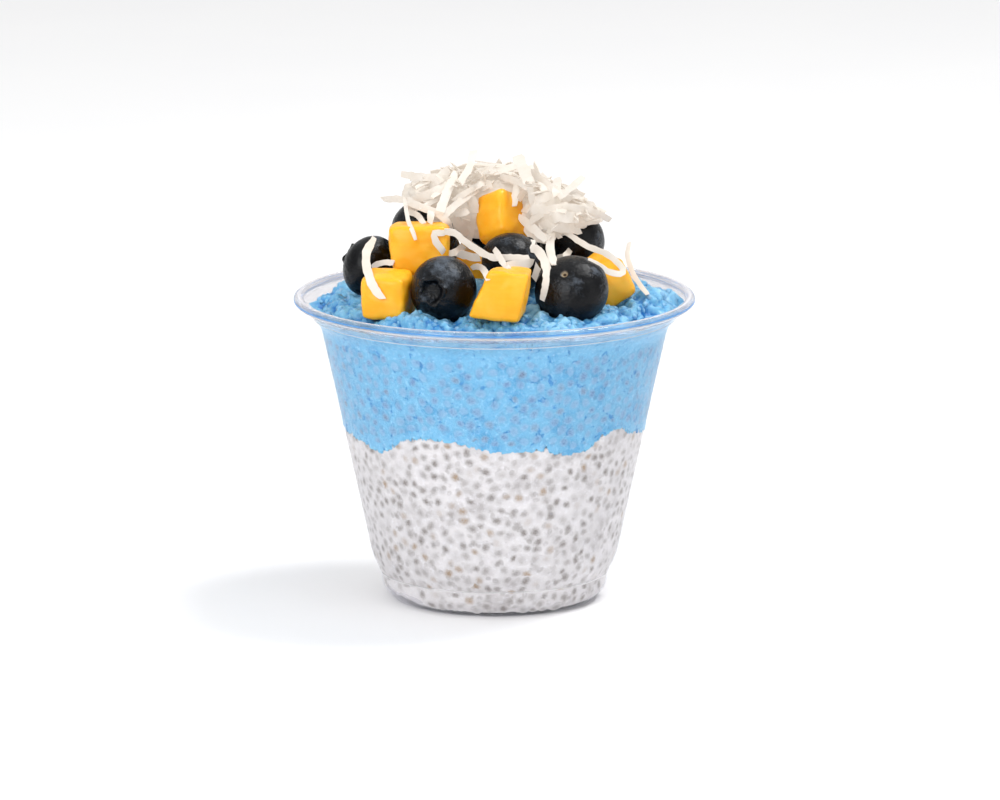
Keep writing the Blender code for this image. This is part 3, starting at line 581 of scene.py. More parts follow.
def berry_skin():
    """Blueberry skin, ripe: blue-black wax with a dusty grey bloom that handling has rubbed thin.

    On the sides that face the top lamp the bloom is raised into a painted grey sheen.
    """
    made = new_material("Blueberry skin, waxy")
    local = add(made, "Attribute", attribute_name="local").outputs["Vector"]
    place = in_millimetres(made)
    dust = add(made, "TexNoise", {"Vector": place, "Scale": 1 / 5.0, "Detail": 6.0, "Roughness": 0.62})
    speck = add(made, "TexNoise", {"Vector": place, "Scale": 1 / 0.32, "Detail": 2.0, "Roughness": 0.6})
    rubbed = add(made, "MapRange", {"Value": dust, "From Min": 0.46, "From Max": 0.72},
                 interpolation_type="SMOOTHSTEP")
    grains = add(made, "MapRange", {"Value": speck, "From Min": 0.30, "From Max": 0.72, "To Min": 0.35})
    skin = add(made, "NewGeometry")
    # Painted highlight: the sides facing the top lamp get more grey bloom, a painted sheen
    upward = add(made, "VectorMath", {0: skin.outputs["Normal"], 1: (0.45, -0.25, 0.85)},
                 operation="DOT_PRODUCT")
    painted_top_sheen = add(made, "MapRange", {"Value": upward, "From Min": 0.35, "From Max": 0.95, "To Min": 0.15,
                                      "To Max": 1.6}, interpolation_type="SMOOTHSTEP")
    patchy = add(made, "Math", {0: rubbed, 1: grains}, operation="MULTIPLY")
    bloom_and_sheen = add(made, "Math", {0: patchy, 1: painted_top_sheen}, operation="MULTIPLY", use_clamp=True)
    # The grey is partly the real bloom in rubbed patches and partly the painted top sheen
    wax = add(made, "Mix", {"Factor": bloom_and_sheen, 6: "030407", 7: "545C66"}, data_type="RGBA")
    height = add(made, "SeparateXYZ", {"Vector": local})
    around = add(made, "VectorMath", {0: local, 1: (1.0, 1.0, 0.0)}, operation="MULTIPLY")
    from_axis = add(made, "VectorMath", {0: around}, operation="LENGTH")
    below = add(made, "Math", {0: height.outputs["Z"], 1: -0.7}, operation="LESS_THAN")
    ring = add(made, "ValToRGB", {"Fac": from_axis}, stops=((0.0, "150D07"), (0.035, "3A2410"),
               (0.058, "9C8A6C"), (0.085, "6E6558"), (STEM_SCAR_RADIUS, "14151A")))
    near = add(made, "Math", {0: from_axis, 1: STEM_SCAR_RADIUS}, operation="LESS_THAN")
    ring_here = add(made, "Math", {0: near, 1: below}, operation="MULTIPLY")
    scarred = add(made, "Mix", {"Factor": ring_here, 6: wax, 7: ring}, data_type="RGBA")
    leather = add(made, "TexNoise", {"Vector": place, "Scale": 1 / 1.3, "Detail": 4.0, "Roughness": 0.6})
    creased = add(made, "Bump", {"Height": leather, "Strength": 0.8, "Distance": 0.35 * MM})
    grained = add(made, "Bump", {"Height": speck, "Strength": 0.3, "Distance": 0.08 * MM, "Normal": creased})
    rough = add(made, "MapRange", {"Value": bloom_and_sheen, "To Min": 0.24, "To Max": 0.5})
    shade(made, {"Base Color": scarred, "Roughness": rough, "IOR": 1.45, "Normal": grained,
                 "Specular IOR Level": 0.26})
    return made


def mango_flesh():
    """Mango flesh, knife-cut: deep yellow and juicy, faintly stringy, and light glows inside it."""
    made = new_material("Mango flesh, cut")
    local = add(made, "Attribute", attribute_name="local").outputs["Vector"]
    stretched = add(made, "Mapping", {"Vector": local, "Scale": (0.14, 0.9, 0.9)})
    fibres = add(made, "TexNoise", {"Vector": stretched, "Scale": 1.0, "Detail": 4.0, "Roughness": 0.6})
    patches = add(made, "TexNoise", {"Vector": local, "Scale": 1 / 6.0, "Detail": 3.0})
    stringy = add(made, "MapRange", {"Value": fibres, "From Min": 0.35, "From Max": 0.70})
    flesh = add(made, "Mix", {"Factor": stringy, 6: "FFAE18", 7: "FFB424"}, data_type="RGBA")
    uneven = add(made, "MapRange", {"Value": patches, "From Min": 0.45, "From Max": 0.75, "To Max": 0.6})
    mellow = add(made, "Mix", {"Factor": uneven, 6: flesh, 7: "FFC84A"}, data_type="RGBA")
    bump = add(made, "Bump", {"Height": fibres, "Strength": 0.2, "Distance": 0.12 * MM})
    shade(made, {"Base Color": mellow, "Roughness": 0.34, "IOR": 1.38, "Normal": bump,
                 "Subsurface Weight": 0.35, "Subsurface Radius": (2.6 * MM, 1.3 * MM, 0.35 * MM),
                 "Subsurface Scale": 1.0})
    return made


def coconut_flesh():
    """Coconut, shredded and dried: white and dense with a cream cast, ragged and a little see-through.

    A faint painted glow stands in for the light that bounces between the shreds.
    """
    made = new_material("Coconut, shredded")
    place = in_millimetres(made)
    along = add(made, "TexNoise", {"Vector": place, "Scale": 1 / 3.0, "Detail": 4.0})
    creamy = add(made, "MapRange", {"Value": along, "From Min": 0.4, "From Max": 0.75})
    colour = add(made, "Mix", {"Factor": creamy, 6: "D2CCC4", 7: "CCC4B8"}, data_type="RGBA")
    fine = add(made, "TexNoise", {"Vector": place, "Scale": 1 / 0.5, "Detail": 3.0})
    bump = add(made, "Bump", {"Height": fine, "Strength": 0.25, "Distance": 0.1 * MM})
    # The emission is a painted glow that lifts the heap's shade
    solid = shade(made, {"Base Color": colour, "Roughness": 0.5, "IOR": 1.45, "Normal": bump,
                         "Specular IOR Level": 0.3, "Emission Color": "FFF4E8",
                         "Emission Strength": SHRED_PAINTED_GLOW})
    thin = add(made, "BsdfTranslucent", {"Color": colour, "Normal": bump})
    give_surface(made, add(made, "MixShader", {"Fac": SHRED_GLOW, 1: solid, 2: thin}))
    return made


def finished(name, mesh, material, replaced=(), sharp_from=0):
    """A piece of the object that rides on the part and stands for the nodes it replaces."""
    mesh.materials.clear()
    mesh.materials.append(material)
    mesh.shade_smooth()
    if sharp_from:
        mesh.set_sharp_from_angle(angle=math.radians(sharp_from))
    obj = bpy.data.objects.new(name, mesh)
    bpy.context.scene.collection.objects.link(obj)
    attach(obj, "root")
    if replaced:
        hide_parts(*replaced)
    return obj


def mesh_from(work, name):
    mesh = bpy.data.meshes.new(name)
    work.to_mesh(mesh)
    work.free()
    return mesh


def coordinates(mesh):
    flat = np.zeros(len(mesh.vertices) * 3)
    mesh.vertices.foreach_get("co", flat)
    return flat.reshape(-1, 3) / MM


def set_coordinates(mesh, places):
    mesh.vertices.foreach_set("co", (places * MM).ravel())
    mesh.update()


def normals(mesh):
    flat = np.zeros(len(mesh.vertices) * 3)
    mesh.vertices.foreach_get("normal", flat)
    return flat.reshape(-1, 3)


def set_attribute(mesh, name, values):
    """Stores one value for each vertex: numbers, or rows of three."""
    values = np.asarray(values, dtype=float)
    kind = "FLOAT" if values.ndim == 1 else "FLOAT_VECTOR"
    layer = mesh.attributes.new(name, kind, "POINT")
    layer.data.foreach_set("value" if kind == "FLOAT" else "vector", values.ravel())


def radius_height(places):
    """Each place's distance from the cup's axis, and its height."""
    return np.stack([np.hypot(places[:, 0], places[:, 1]), places[:, 2]], axis=1)


def direction(places):
    """Each place's direction round the cup's axis in degrees."""
    return np.degrees(np.arctan2(places[:, 1], places[:, 0]))


def wavy(at, waves, level=0.0):
    """A level with soft waves on it at a place in mm, each a height, a width and a shift."""
    for height, width, shift in waves:
        level += height * noise.noise(at / width + Vector(shift))
    return level


def rounded(corners):
    """Points in mm along a profile of (radius, height, rounding), each corner turned by a bow."""
    points = []
    for i, (radius, height, size) in enumerate(corners):
        here = Vector((radius, height))
        if size == 0 or i in (0, len(corners) - 1):
            points.append(here)
            continue
        start = here + (Vector(corners[i - 1][:2]) - here).normalized() * size
        end = here + (Vector(corners[i + 1][:2]) - here).normalized() * size
        for step in range(ROUNDING_STEPS + 1):
            share = step / ROUNDING_STEPS
            points.append(start.lerp(here, share).lerp(here.lerp(end, share), share))
    return points


def spaced(points, longest):
    """The same line with points added, so that no span is longer than asked."""
    made = [points[0]]
    for start, end in zip(points, points[1:]):
        spans = max(1, math.ceil((end - start).length / longest))
        made += [start.lerp(end, step / spans) for step in range(1, spans + 1)]
    return made


def inset(points, depth):
    """The profile moved inwards by depth, square to itself, and by twice that at most in a corner."""
    made = []
    for i, here in enumerate(points):
        sides = []
        for start, end in ((points[max(i - 1, 0)], here), (here, points[min(i + 1, len(points) - 1)])):
            along = end - start
            if along.length > 1e-9:
                sides.append(Vector((along.y, -along.x)).normalized())
        mean = (sides[0] + sides[-1]).normalized()
        moved = here + mean * depth / max(mean.dot(sides[0]), 0.5)
        made.append(Vector((max(moved.x, 0.0), moved.y)))
    made[-1].x = 0.0
    return made


outside = spaced(rounded(CUP_OUTSIDE), LONGEST_SPAN)
inside = inset(outside, CUP_WALL)
wall_line = [point for point in reversed(inside) if point.x > BASE_RADIUS]


def turned(name, points, steps):
    """A closed mesh turned about Z from points in mm."""
    work = bmesh.new()
    ring = [work.verts.new((point.x * MM, 0.0, point.y * MM)) for point in points]
    sides = [work.edges.new(pair) for pair in zip(ring, ring[1:])]
    bmesh.ops.spin(work, geom=ring + sides, cent=(0, 0, 0), axis=(0, 0, 1), angle=math.tau, steps=steps,
                   use_merge=True)
    bmesh.ops.remove_doubles(work, verts=work.verts, dist=TURNED_MERGE * MM)
    bmesh.ops.recalc_face_normals(work, faces=work.faces)
    return mesh_from(work, name)


def make_cup(material):
    lip = []
    for step in range(LIP_POINTS + 1):
        turn = math.radians(LIP_FROM - LIP_TURN * step / LIP_POINTS)
        lip.append(Vector((LIP_MIDDLE[0] + LIP_SIZE[0] * math.cos(turn),
                           LIP_MIDDLE[1] + LIP_SIZE[1] * math.sin(turn))))
    mesh = turned("clear_cup", list(reversed(inside)) + lip + outside, CUP_STEPS)
    flat = radius_height(coordinates(mesh))
    # Shares of the painted highlight and of the painted blue reflection, stored on the mesh
    for tint, spots in CUP_TINTS.items():
        share = np.zeros(len(flat))
        for radius, height, reach, amount in spots:
            far = np.hypot(flat[:, 0] - radius, flat[:, 1] - height)
            share = np.maximum(share, amount * np.exp(-(far / reach) ** 2))
        set_attribute(mesh, tint, share)
    finished("clear_cup", mesh, material, ("cup",), sharp_from=50)


def wall_radius(height):
    """The cup's inner radius in mm at a height in mm above the foot."""
    return np.interp(height, [point.y for point in wall_line], [point.x for point in wall_line])


def nearest_on_wall(flat):
    """For (radius, height) rows in mm: the nearest point of the cup's inside and its distance."""
    line = np.array([tuple(point) for point in inside])
    best = np.full(len(flat), np.inf)
    found = np.zeros((len(flat), 2))
    for start, end in zip(line, line[1:]):
        along = end - start
        share = np.clip(((flat - start) @ along) / max(along @ along, 1e-12), 0, 1)
        spot = start + share[:, None] * along
        far = np.hypot(*(flat - spot).T)
        closer = far < best
        best[closer] = far[closer]
        found[closer] = spot[closer]
    return found, best


def snapped_to_wall(places, near, sunk):
    """Moves what lies near the cup's inside onto it and a little into the plastic."""
    flat = radius_height(places)
    spots, far = nearest_on_wall(flat)
    caught = far < near
    outward = spots - flat
    outward /= np.maximum(np.hypot(*outward.T), 1e-9)[:, None]
    flat[caught] = (spots + outward * sunk)[caught]
    turn = np.arctan2(places[:, 1], places[:, 0])
    moved = np.stack([flat[:, 0] * np.cos(turn), flat[:, 0] * np.sin(turn), flat[:, 1]], axis=1)
    return np.where(caught[:, None], moved, places), caught


def edge_heights(places, lowest, within=0.05):
    """For each degree round the cup, how high a layer's wall reaches, in mm."""
    at_wall = radius_height(places)[:, 0] > wall_radius(places[:, 2]) - within
    at_wall &= places[:, 2] > lowest
    degrees = direction(places).astype(int) % 360
    heights = np.full(360, np.nan)
    for degree in range(360):
        here = places[at_wall & (degrees == degree), 2]
        if len(here):
            heights[degree] = here.max()
    known = ~np.isnan(heights)
    return np.interp(np.arange(360), np.nonzero(known)[0], heights[known], period=360)


def foot_fill(places):
    """Where the pudding stops short of the foot's corner: 0 at the front, 1 at the sides, by place."""
    away = np.abs((direction(places) + FOOT_FULL_AT + 180) % 360 - 180)
    return np.clip((away - FOOT_FULL_WIDTH) / FOOT_FULL_FADE, 0, 1)


def remeshed(node, name, voxel):
    """A node's mesh rebuilt as even small faces, a voxel apart in mm."""
    work = bmesh.new()
    work.from_mesh(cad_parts[node].data)
    bmesh.ops.remove_doubles(work, verts=work.verts, dist=NODE_MERGE * MM)
    obj = bpy.data.objects.new(name, mesh_from(work, node + "_copy"))
    bpy.context.scene.collection.objects.link(obj)
    remesh = obj.modifiers.new("Even faces", "REMESH")
    remesh.mode = "VOXEL"
    remesh.voxel_size = voxel * MM
    made = bpy.data.meshes.new_from_object(obj.evaluated_get(bpy.context.evaluated_depsgraph_get()))
    bpy.data.objects.remove(obj)
    made.name = name
    return made


def make_white_pudding(material):
    mesh = remeshed("white_pudding", "white_layer", WHITE_VOXEL)
    places = coordinates(mesh)
    top = edge_heights(places, SEAM_ABOVE, NEAR_WALL)[direction(places).astype(int) % 360]
    lifted = np.clip((places[:, 2] - top) / SEAM_REACH + 1, 0, 1)
    for i in np.nonzero(lifted)[0]:
        at = Vector((places[i, 0], places[i, 1], 0))
        places[i, 2] += lifted[i] * wavy(at, SEAM_WAVES, SEAM_LIFT)
    near = np.where(places[:, 2] < FOOT_TOP, FOOT_NEAR, NEAR_WALL)
    places, _ = snapped_to_wall(places, near, WHITE_SUNK)
    ridge = foot_fill(places) * np.clip((FOOT_GAP_TOP - places[:, 2]) / FOOT_GAP_TOP, 0, 1)
    radii = radius_height(places)[:, 0]
    drawn = ridge * np.clip((radii - FOOT_INNER) / FOOT_INNER_FADE, 0, 1)
    for i in np.nonzero(drawn > 0.01)[0]:
        lump = wavy(Vector(places[i]), FOOT_LUMPS, FOOT_LUMP_LEVEL)
        places[i, :2] *= 1 - drawn[i] * lump * FOOT_GAP / radii[i]
        places[i, 2] += drawn[i] * lump * FOOT_GAP
    set_coordinates(mesh, places)
    return finished("white_layer", mesh, material, ("white_pudding",), sharp_from=45)


def lumpy(place):
    """Height in mm of the blue layer's clumps at a place in mm, and how deep in a crease it lies."""
    at = Vector(place)
    bent = at + CRUMB_BEND[0] * noise.noise_vector(at / CRUMB_BEND[1])
    crumbs = min(1.0, CRUMBS[2] * abs(noise.noise(bent / CRUMBS[1] + Vector((2, 8, 5)))))
    grains = min(1.0, GRAINS[2] * abs(noise.noise(at / GRAINS[1] + Vector((6, 2, 1)))))
    rise = wavy(at, CLUMPS) + CRUMBS[0] * crumbs + GRAINS[0] * grains - CLUMP_LEVEL
    return rise, max(0.0, 1 - crumbs / CREASE_WIDTH)


def make_blue_pudding(material, seam):
    mesh = remeshed("blue_pudding", "blue_layer", BLUE_VOXEL)
    places = coordinates(mesh)
    facing = normals(mesh)
    radii = radius_height(places)[:, 0]
    turn = direction(places)
    by_wall = nearest_on_wall(radius_height(places))[1] < NEAR_WALL
    above = places[:, 2] > BLUE_TOP_FROM
    # Shares for painted shade in creases and low spots, and for a painted highlight on raised tips
    crease_shade = np.zeros(len(places))
    raised = np.zeros(len(places))
    for i in np.nonzero(above & (facing[:, 2] > -0.2) & ~by_wall)[0]:
        rise, crease = lumpy(places[i])
        places[i] += facing[i] * (rise + CLUMP_RISE)
        crease_shade[i] = min(max(0.6 * crease + 0.5 * (-0.1 - rise), 0.0), 1.0)
        raised[i] = min(max(0.6 * (rise - 0.5), 0.0), 0.55)
    for at, rise, width, radius in TOP_LUMPS:
        away = ((turn - at + 180) % 360 - 180) / width
        share = np.exp(-away ** 2 - ((radii - radius) / TOP_LUMP_DEPTH) ** 2)
        places[:, 2] += np.where(above, share * rise, 0)
    edge = above & by_wall
    front = np.clip((-places[:, 1] / np.maximum(radii, 1.0) - 0.2) / 0.5, 0, 1)
    wall_before = wall_radius(places[:, 2])
    for i in np.nonzero(edge)[0]:
        share = min(max((places[i, 2] - BLUE_TOP_FROM) / EDGE_LIFT_OVER, 0.0), 1.0)
        places[i, 2] += wavy(Vector(places[i]), EDGE_WAVES) + EDGE_LIFT * front[i] * share
    places[edge, 2] = np.minimum(places[edge, 2], EDGE_TOP)
    followed = np.where(edge, wall_radius(places[:, 2]) - wall_before, 0) / np.maximum(radii, 1.0)
    places[:, :2] *= (1 + followed)[:, None]
    outward = (facing[:, 0] * places[:, 0] + facing[:, 1] * places[:, 1]) / np.maximum(radii, 1.0)
    places, caught = snapped_to_wall(places, np.where(outward > 0.3, FOOT_NEAR, NEAR_WALL), BLUE_SUNK)
    over = seam[turn.astype(int) % 360] + SEAM_BEHIND - places[:, 2]
    places[:, 2] -= SEAM_BEHIND * np.clip(over / SEAM_BEHIND, 0, 1) * (radii > FOOT_INNER)
    set_coordinates(mesh, places)
    set_attribute(mesh, "crease_shade", np.where(caught, 0, crease_shade))
    set_attribute(mesh, "raised", np.where(caught, 0, raised))
    return finished("blue_layer", mesh, material, ("blue_pudding",), sharp_from=55)


def strewn(draw, low, high, room):
    """Spots on the wall as (angle, height), no two nearer than room, between two outlines."""
    cells = {}
    spots = []
    for _ in range(SEED_TRIES):
        angle = draw.uniform(0, math.tau)
        degree = int(math.degrees(angle)) % 360
        height = draw.uniform(low[degree], high[degree])
        radius = float(wall_radius(height))
        if draw.random() > radius / WIDEST_WALL:
            continue
        place = Vector((radius * math.cos(angle), radius * math.sin(angle), height))
        key = tuple(int(c // room) for c in place)
        near = [cells.get((key[0] + i, key[1] + j, key[2] + k))
                for i in (-1, 0, 1) for j in (-1, 0, 1) for k in (-1, 0, 1)]
        gap = room * draw.uniform(*WALL_SEED_GAP)
        if key in cells or any(other and (other - place).length < gap for other in near):
            continue
        cells[key] = place
        spots.append((angle, height))
    return spots


def seed_shows(draw):
    """How clearly a seed shows, 0 to 1: most lie just under the gel, some deeper."""
    return draw.uniform(*(DEEP_SEED_SHOW if draw.random() < DEEP_SEEDS else SEED_SHOW))


def ball():
    """A ball's points and faces, and each point's distance from the middle of its seen side."""
    work = bmesh.new()
    bmesh.ops.create_icosphere(work, subdivisions=2, radius=1.0)
    points = np.array([tuple(vertex.co) for vertex in work.verts])
    faces = [[vertex.index for vertex in face.verts] for face in work.faces]
    work.free()
    return points, faces, np.where(points[:, 2] > 0, np.hypot(points[:, 0], points[:, 1]), 1.0)


def lens():
    """A flat lens: a shallow dome on the seen side, a cone behind."""
    points = [(0.0, 0.0, 1.0), (0.0, 0.0, -1.0)]
    for reach in LENS_RINGS:
        for side in range(LENS_SIDES):
            turn = math.tau * side / LENS_SIDES
            points.append((reach * math.cos(turn), reach * math.sin(turn), 1 - reach * reach))
    faces = []
    for side in range(LENS_SIDES):
        after = (side + 1) % LENS_SIDES
        faces.append([0, 2 + side, 2 + after])
        for ring in range(len(LENS_RINGS) - 1):
            first = 2 + ring * LENS_SIDES
            faces.append([first + side, first + LENS_SIDES + side, first + LENS_SIDES + after, first + after])
        last = 2 + (len(LENS_RINGS) - 1) * LENS_SIDES
        faces.append([1, last + after, last + side])
    points = np.array(points)
    out = np.hypot(points[:, 0], points[:, 1])
    out[1] = 1.0
    return points, faces, out


def joined_seeds(name, placed, shape):
    """One mesh of all the seeds: placed gives each its middle, axes in mm, tint and how it shows."""
    points, faces, reach = shape
    all_points = []
    all_faces = []
    for middle, axes, _, _ in placed:
        first = len(all_points) * len(points)
        all_points.append(points @ np.array([tuple(axis) for axis in axes]) + np.array(tuple(middle)))
        all_faces += [[first + i for i in face] for face in faces]
    mesh = bpy.data.meshes.new(name)
    mesh.from_pydata((np.concatenate(all_points) * MM).tolist(), [], all_faces)
    set_attribute(mesh, "out", np.tile(reach, len(placed)))
    for attribute, values in zip(("tint", "show"), zip(*[row[2:] for row in placed])):
        set_attribute(mesh, attribute, np.repeat(values, len(points)))
    return mesh


def wall_seeds(kind, low, high):
    """Seeds pressed against the inside of the cup: flat ovals that swell just clear of the gel."""
    (half_length, half_width), room, seed = WALL_SEEDS[kind]
    draw = random.Random(seed)
    placed = []
    for angle, height in strewn(draw, low, high, room):
        if height < FOOT_GAP_TOP and foot_fill(np.array([[math.cos(angle), math.sin(angle)]]))[0] > 0.2:
            continue
        radius = float(wall_radius(height)) + WHITE_SUNK
        slope = float(wall_radius(height + 0.5)) - float(wall_radius(height - 0.5))
        side = Vector((-math.sin(angle), math.cos(angle), 0))
        out = Vector((math.cos(angle), math.sin(angle), 0))
        up = (Vector((0, 0, 1)) + out * slope).normalized()
        turn = draw.uniform(0, math.pi)
        grow = draw.uniform(*WALL_SEED_GROWTH)
        long_way = (side * math.cos(turn) + up * math.sin(turn)) * half_length * grow
        short_way = (up * math.cos(turn) - side * math.sin(turn)) * half_width * grow
        axes = (long_way, short_way * draw.uniform(*WALL_SEED_WIDTH), side.cross(up) * WALL_SEED_SWELL)
        middle = Vector((out.x * radius, out.y * radius, height))
        placed.append((middle, axes, draw.random(), seed_shows(draw)))
    mesh = joined_seeds(kind + "_wall_seeds", placed, lens())
    finished(kind + "_wall_seeds", mesh, seed_materials[kind], sharp_from=60)


def surface_seeds(layer):
    """Seeds that stand out of the blue layer's top, coated in its gel."""
    draw = random.Random(TOP_SEED_DRAW)
    mesh = layer.data
    mesh.calc_loop_triangles()
    places = coordinates(mesh)
    corners = np.array([tuple(t.vertices) for t in mesh.loop_triangles])
    a, b, c = (places[corners[:, i]] for i in range(3))
    cross = np.cross(b - a, c - a)
    size = np.linalg.norm(cross, axis=1)
    middle = (a + b + c) / 3
    open_top = (cross[:, 2] > TOP_SEED_UPRIGHT * size) & (middle[:, 2] > TOP_SEEDS_FROM)
    open_top &= radius_height(middle)[:, 0] < wall_radius(middle[:, 2]) - TOP_SEED_OFF_WALL
    chance = np.cumsum(np.where(open_top, size, 0))
    cells = set()
    placed = []
    for _ in range(TOP_SEED_TRIES):
        i = int(np.searchsorted(chance, draw.random() * chance[-1]))
        spot = Vector(middle[i])
        key = tuple(int(q // TOP_SEED_ROOM) for q in spot)
        if key in cells:
            continue
        cells.add(key)
        out = Vector(cross[i]).normalized()
        long_way = out.orthogonal().normalized()
        long_way.rotate(Matrix.Rotation(draw.uniform(0, math.tau), 3, out))
        tilt = draw.uniform(-TOP_SEED_TILT, TOP_SEED_TILT)
        long_way = (long_way + out * tilt).normalized()
        short_way = out.cross(long_way).normalized()
        grow = draw.uniform(*TOP_SEED_GROWTH)
        ways = (long_way, short_way, long_way.cross(short_way))
        axes = [way * half * grow for way, half in zip(ways, TOP_SEED_SIZE)]
        raised = spot + out * draw.uniform(*TOP_SEED_RAISED)
        placed.append((raised, axes, draw.random(), draw.uniform(0.0, TOP_SEED_SHOW)))
    mesh = joined_seeds("blue_top_seeds", placed, ball())
    finished("blue_top_seeds", mesh, seed_materials["blue"])


def make_berry(name, centre, radius, flatness, crown, material, index):
    profile = list(CROWN)
    for ring in range(1, BERRY_RINGS):
        turn = math.radians(BERRY_FROM + (BERRY_TO - BERRY_FROM) * ring / BERRY_RINGS)
        profile.append((math.sin(turn), math.cos(turn)))
    profile += STEM_SCAR
    mesh = turned("blueberry", [Vector((r, z)) for r, z in profile], BERRY_STEPS)
    shares = coordinates(mesh)
    offset = Vector((index * 7.3, index * 3.1, index * 5.7))
    made = shares.copy()
    for i, (x, y, z) in enumerate(shares):
        across = math.hypot(x, y)
        turn = math.atan2(y, x)
        at = Vector((x, y, z))
        if z > 0.7 and 0.12 < across < 0.60:
            round_it = Vector((math.cos(turn), math.sin(turn), index)) * 1.5
            wave = 0.5 + 0.5 * math.cos(CROWN_LOBES * turn + CROWN_UNEVENNESS * noise.noise(round_it))
            near = math.exp(-((across - CROWN_RIM) / CROWN_RIM_WIDTH) ** 2)
            made[i, :2] *= 1 + near * (LOBE_SPREAD * wave - LOBE_PINCH)
            made[i, 2] += near * (LOBE_RISE * wave - LOBE_SINK)
            made[i, 2] += CROWN_CRUMPLE[0] * noise.noise(at * CROWN_CRUMPLE[1] + offset)
        made[i] *= 1 + sum(depth * noise.noise(at * fineness + offset) for depth, fineness in BERRY_DENTS)
    set_attribute(mesh, "local", shares)
    made *= np.array([radius, radius, radius * flatness])
    turn = np.array(Vector(crown).to_track_quat("Z", "Y").to_matrix())
    set_coordinates(mesh, made @ turn.T + np.array(centre))
    return finished("berry_" + name, mesh, material, ("blueberry_" + name,))


def make_cube(name, centre, size, turns, lean, taper, seed, material):
    """A knife-cut piece: squarish between eight uneven corners, with cushioned stringy faces."""
    draw = random.Random(seed)
    work = bmesh.new()
    bmesh.ops.create_cube(work, size=2.0)
    corners = []
    for corner in work.verts:
        place = [corner.co[k] / 2 * size[k] * (1 + draw.uniform(-1, 1) * CUT_UNEVENNESS) for k in range(3)]
        if place[2] < 0:
            place[0] *= 1 - taper
        place[0] += lean * place[2]
        corners.append((corner.co.copy(), Vector(place)))
    bmesh.ops.subdivide_edges(work, edges=list(work.edges), cuts=MANGO_CUTS, use_grid_fill=True)
    power = MANGO_POWERS.get(name, MANGO_POWER)
    units = [vertex.co.copy() for vertex in work.verts]
    for vertex in work.verts:
        at = vertex.co / sum(abs(c) ** power for c in vertex.co) ** (1 / power)
        place = Vector()
        for sign, corner in corners:
            place += corner * ((1 + sign.x * at.x) * (1 + sign.y * at.y) * (1 + sign.z * at.z) / 8)
        vertex.co = place
    work.normal_update()
    offset = Vector((seed * 4.7, seed * 9.1, seed * 2.3))
    local = []
    for vertex, unit in zip(work.verts, units):
        at = vertex.co + offset
        local.append(tuple(at))
        shares = sorted(abs(c) for c in unit)
        sag = wavy(at, MANGO_WAVES)
        sag += MANGO_CUSHION * (1 - shares[0] ** 2) * (1 - shares[1] ** 2) - MANGO_TRIM
        string = Vector((at.x / FIBRE_LENGTH, at.y / FIBRE_WIDTH, at.z / FIBRE_WIDTH))
        vertex.co += vertex.normal * (sag + MANGO_FIBRE * noise.noise(string))
    mesh = mesh_from(work, "mango")
    places = np.array([tuple(vertex.co) for vertex in mesh.vertices])
    turn = np.array(Euler([math.radians(t) for t in turns]).to_matrix())
    set_coordinates(mesh, places @ turn.T + np.array(centre))
    set_attribute(mesh, "local", local)
    return finished("mango_" + name, mesh, material, ("mango_cube_" + name,))


def tree_of(objects):
    """All the objects' faces in mm, for casting against."""
    points = []
    faces = []
    for obj in objects:
        first = len(points)
        points += [Vector(place) for place in coordinates(obj.data)]
        faces += [[first + i for i in face.vertices] for face in obj.data.polygons]
    return BVHTree.FromPolygons(points, faces)


def smooth_line(points, step):
    """A smooth curve through points, read every step mm."""
    points = [Vector(point) for point in points]
    padded = [points[0] * 2 - points[1], *points, points[-1] * 2 - points[-2]]
    dense = []
    for before, start, end, after in zip(padded, padded[1:], padded[2:], padded[3:]):
        for k in range(CURVE_PARTS):
            t = k / CURVE_PARTS
            dense.append(0.5 * (2 * start + (end - before) * t
                                + (2 * before - 5 * start + 4 * end - after) * t * t
                                + (3 * start - before - 3 * end + after) * t * t * t))
    dense.append(points[-1])
    length = sum((b - a).length for a, b in zip(dense, dense[1:]))
    count = max(3, round(length / step))
    made = []
    walked = 0.0
    want = 0.0
    for a, b in zip(dense, dense[1:]):
        span = (b - a).length
        while want <= walked + span + 1e-9 and len(made) < count + 1:
            made.append(a.lerp(b, (want - walked) / span if span else 0.0))
            want += length / count
        walked += span
    return made + [dense[-1]] * (count + 1 - len(made))


def bridged(distances):
    """A stiff strip rests on what stands nearest and spans the hollows between."""
    made = list(distances)
    last = len(distances)
    for i in range(last):
        for j in range(i):
            for k in range(i + 1, last):
                share = (i - j) / (k - j)
                made[i] = min(made[i], distances[j] + share * (distances[k] - distances[j]))
    return made


def averaged(values, rounds):
    """A run of values with its bends eased, its ends kept."""
    for _ in range(rounds):
        eased = [(a + 2 * b + c) / 4 for a, b, c in zip(values, values[1:], values[2:])]
        values = [values[0], *eased, values[-1]]
    return values


def nearest_hit(trees, start, way, far):
    """How far a ray runs before it meets one of the trees, or far where it meets none."""
    for tree in trees:
        hit = tree.ray_cast(start, way)
        if hit[0] is not None:
            far = min(far, hit[3])
    return far


def seen_line(trees, line, rest):
    """A strip's points in space, from its middle line as the camera sees it."""
    eye = CAMERA_PLACE / MM
    sights = []
    distances = []
    for x, height in smooth_line(line, STRIP_STEP):
        sight = (Vector((x, 0.0, height)) - eye).normalized()
        far = nearest_hit(trees, eye, sight, (BACKDROP - eye.y) / sight.y)
        sights.append(sight)
        distances.append(far - rest - STRIP_THICKNESS)
    stiff = averaged(bridged(distances), 2)
    return [eye + sight * far for sight, far in zip(sights, stiff)], [-sight for sight in sights]


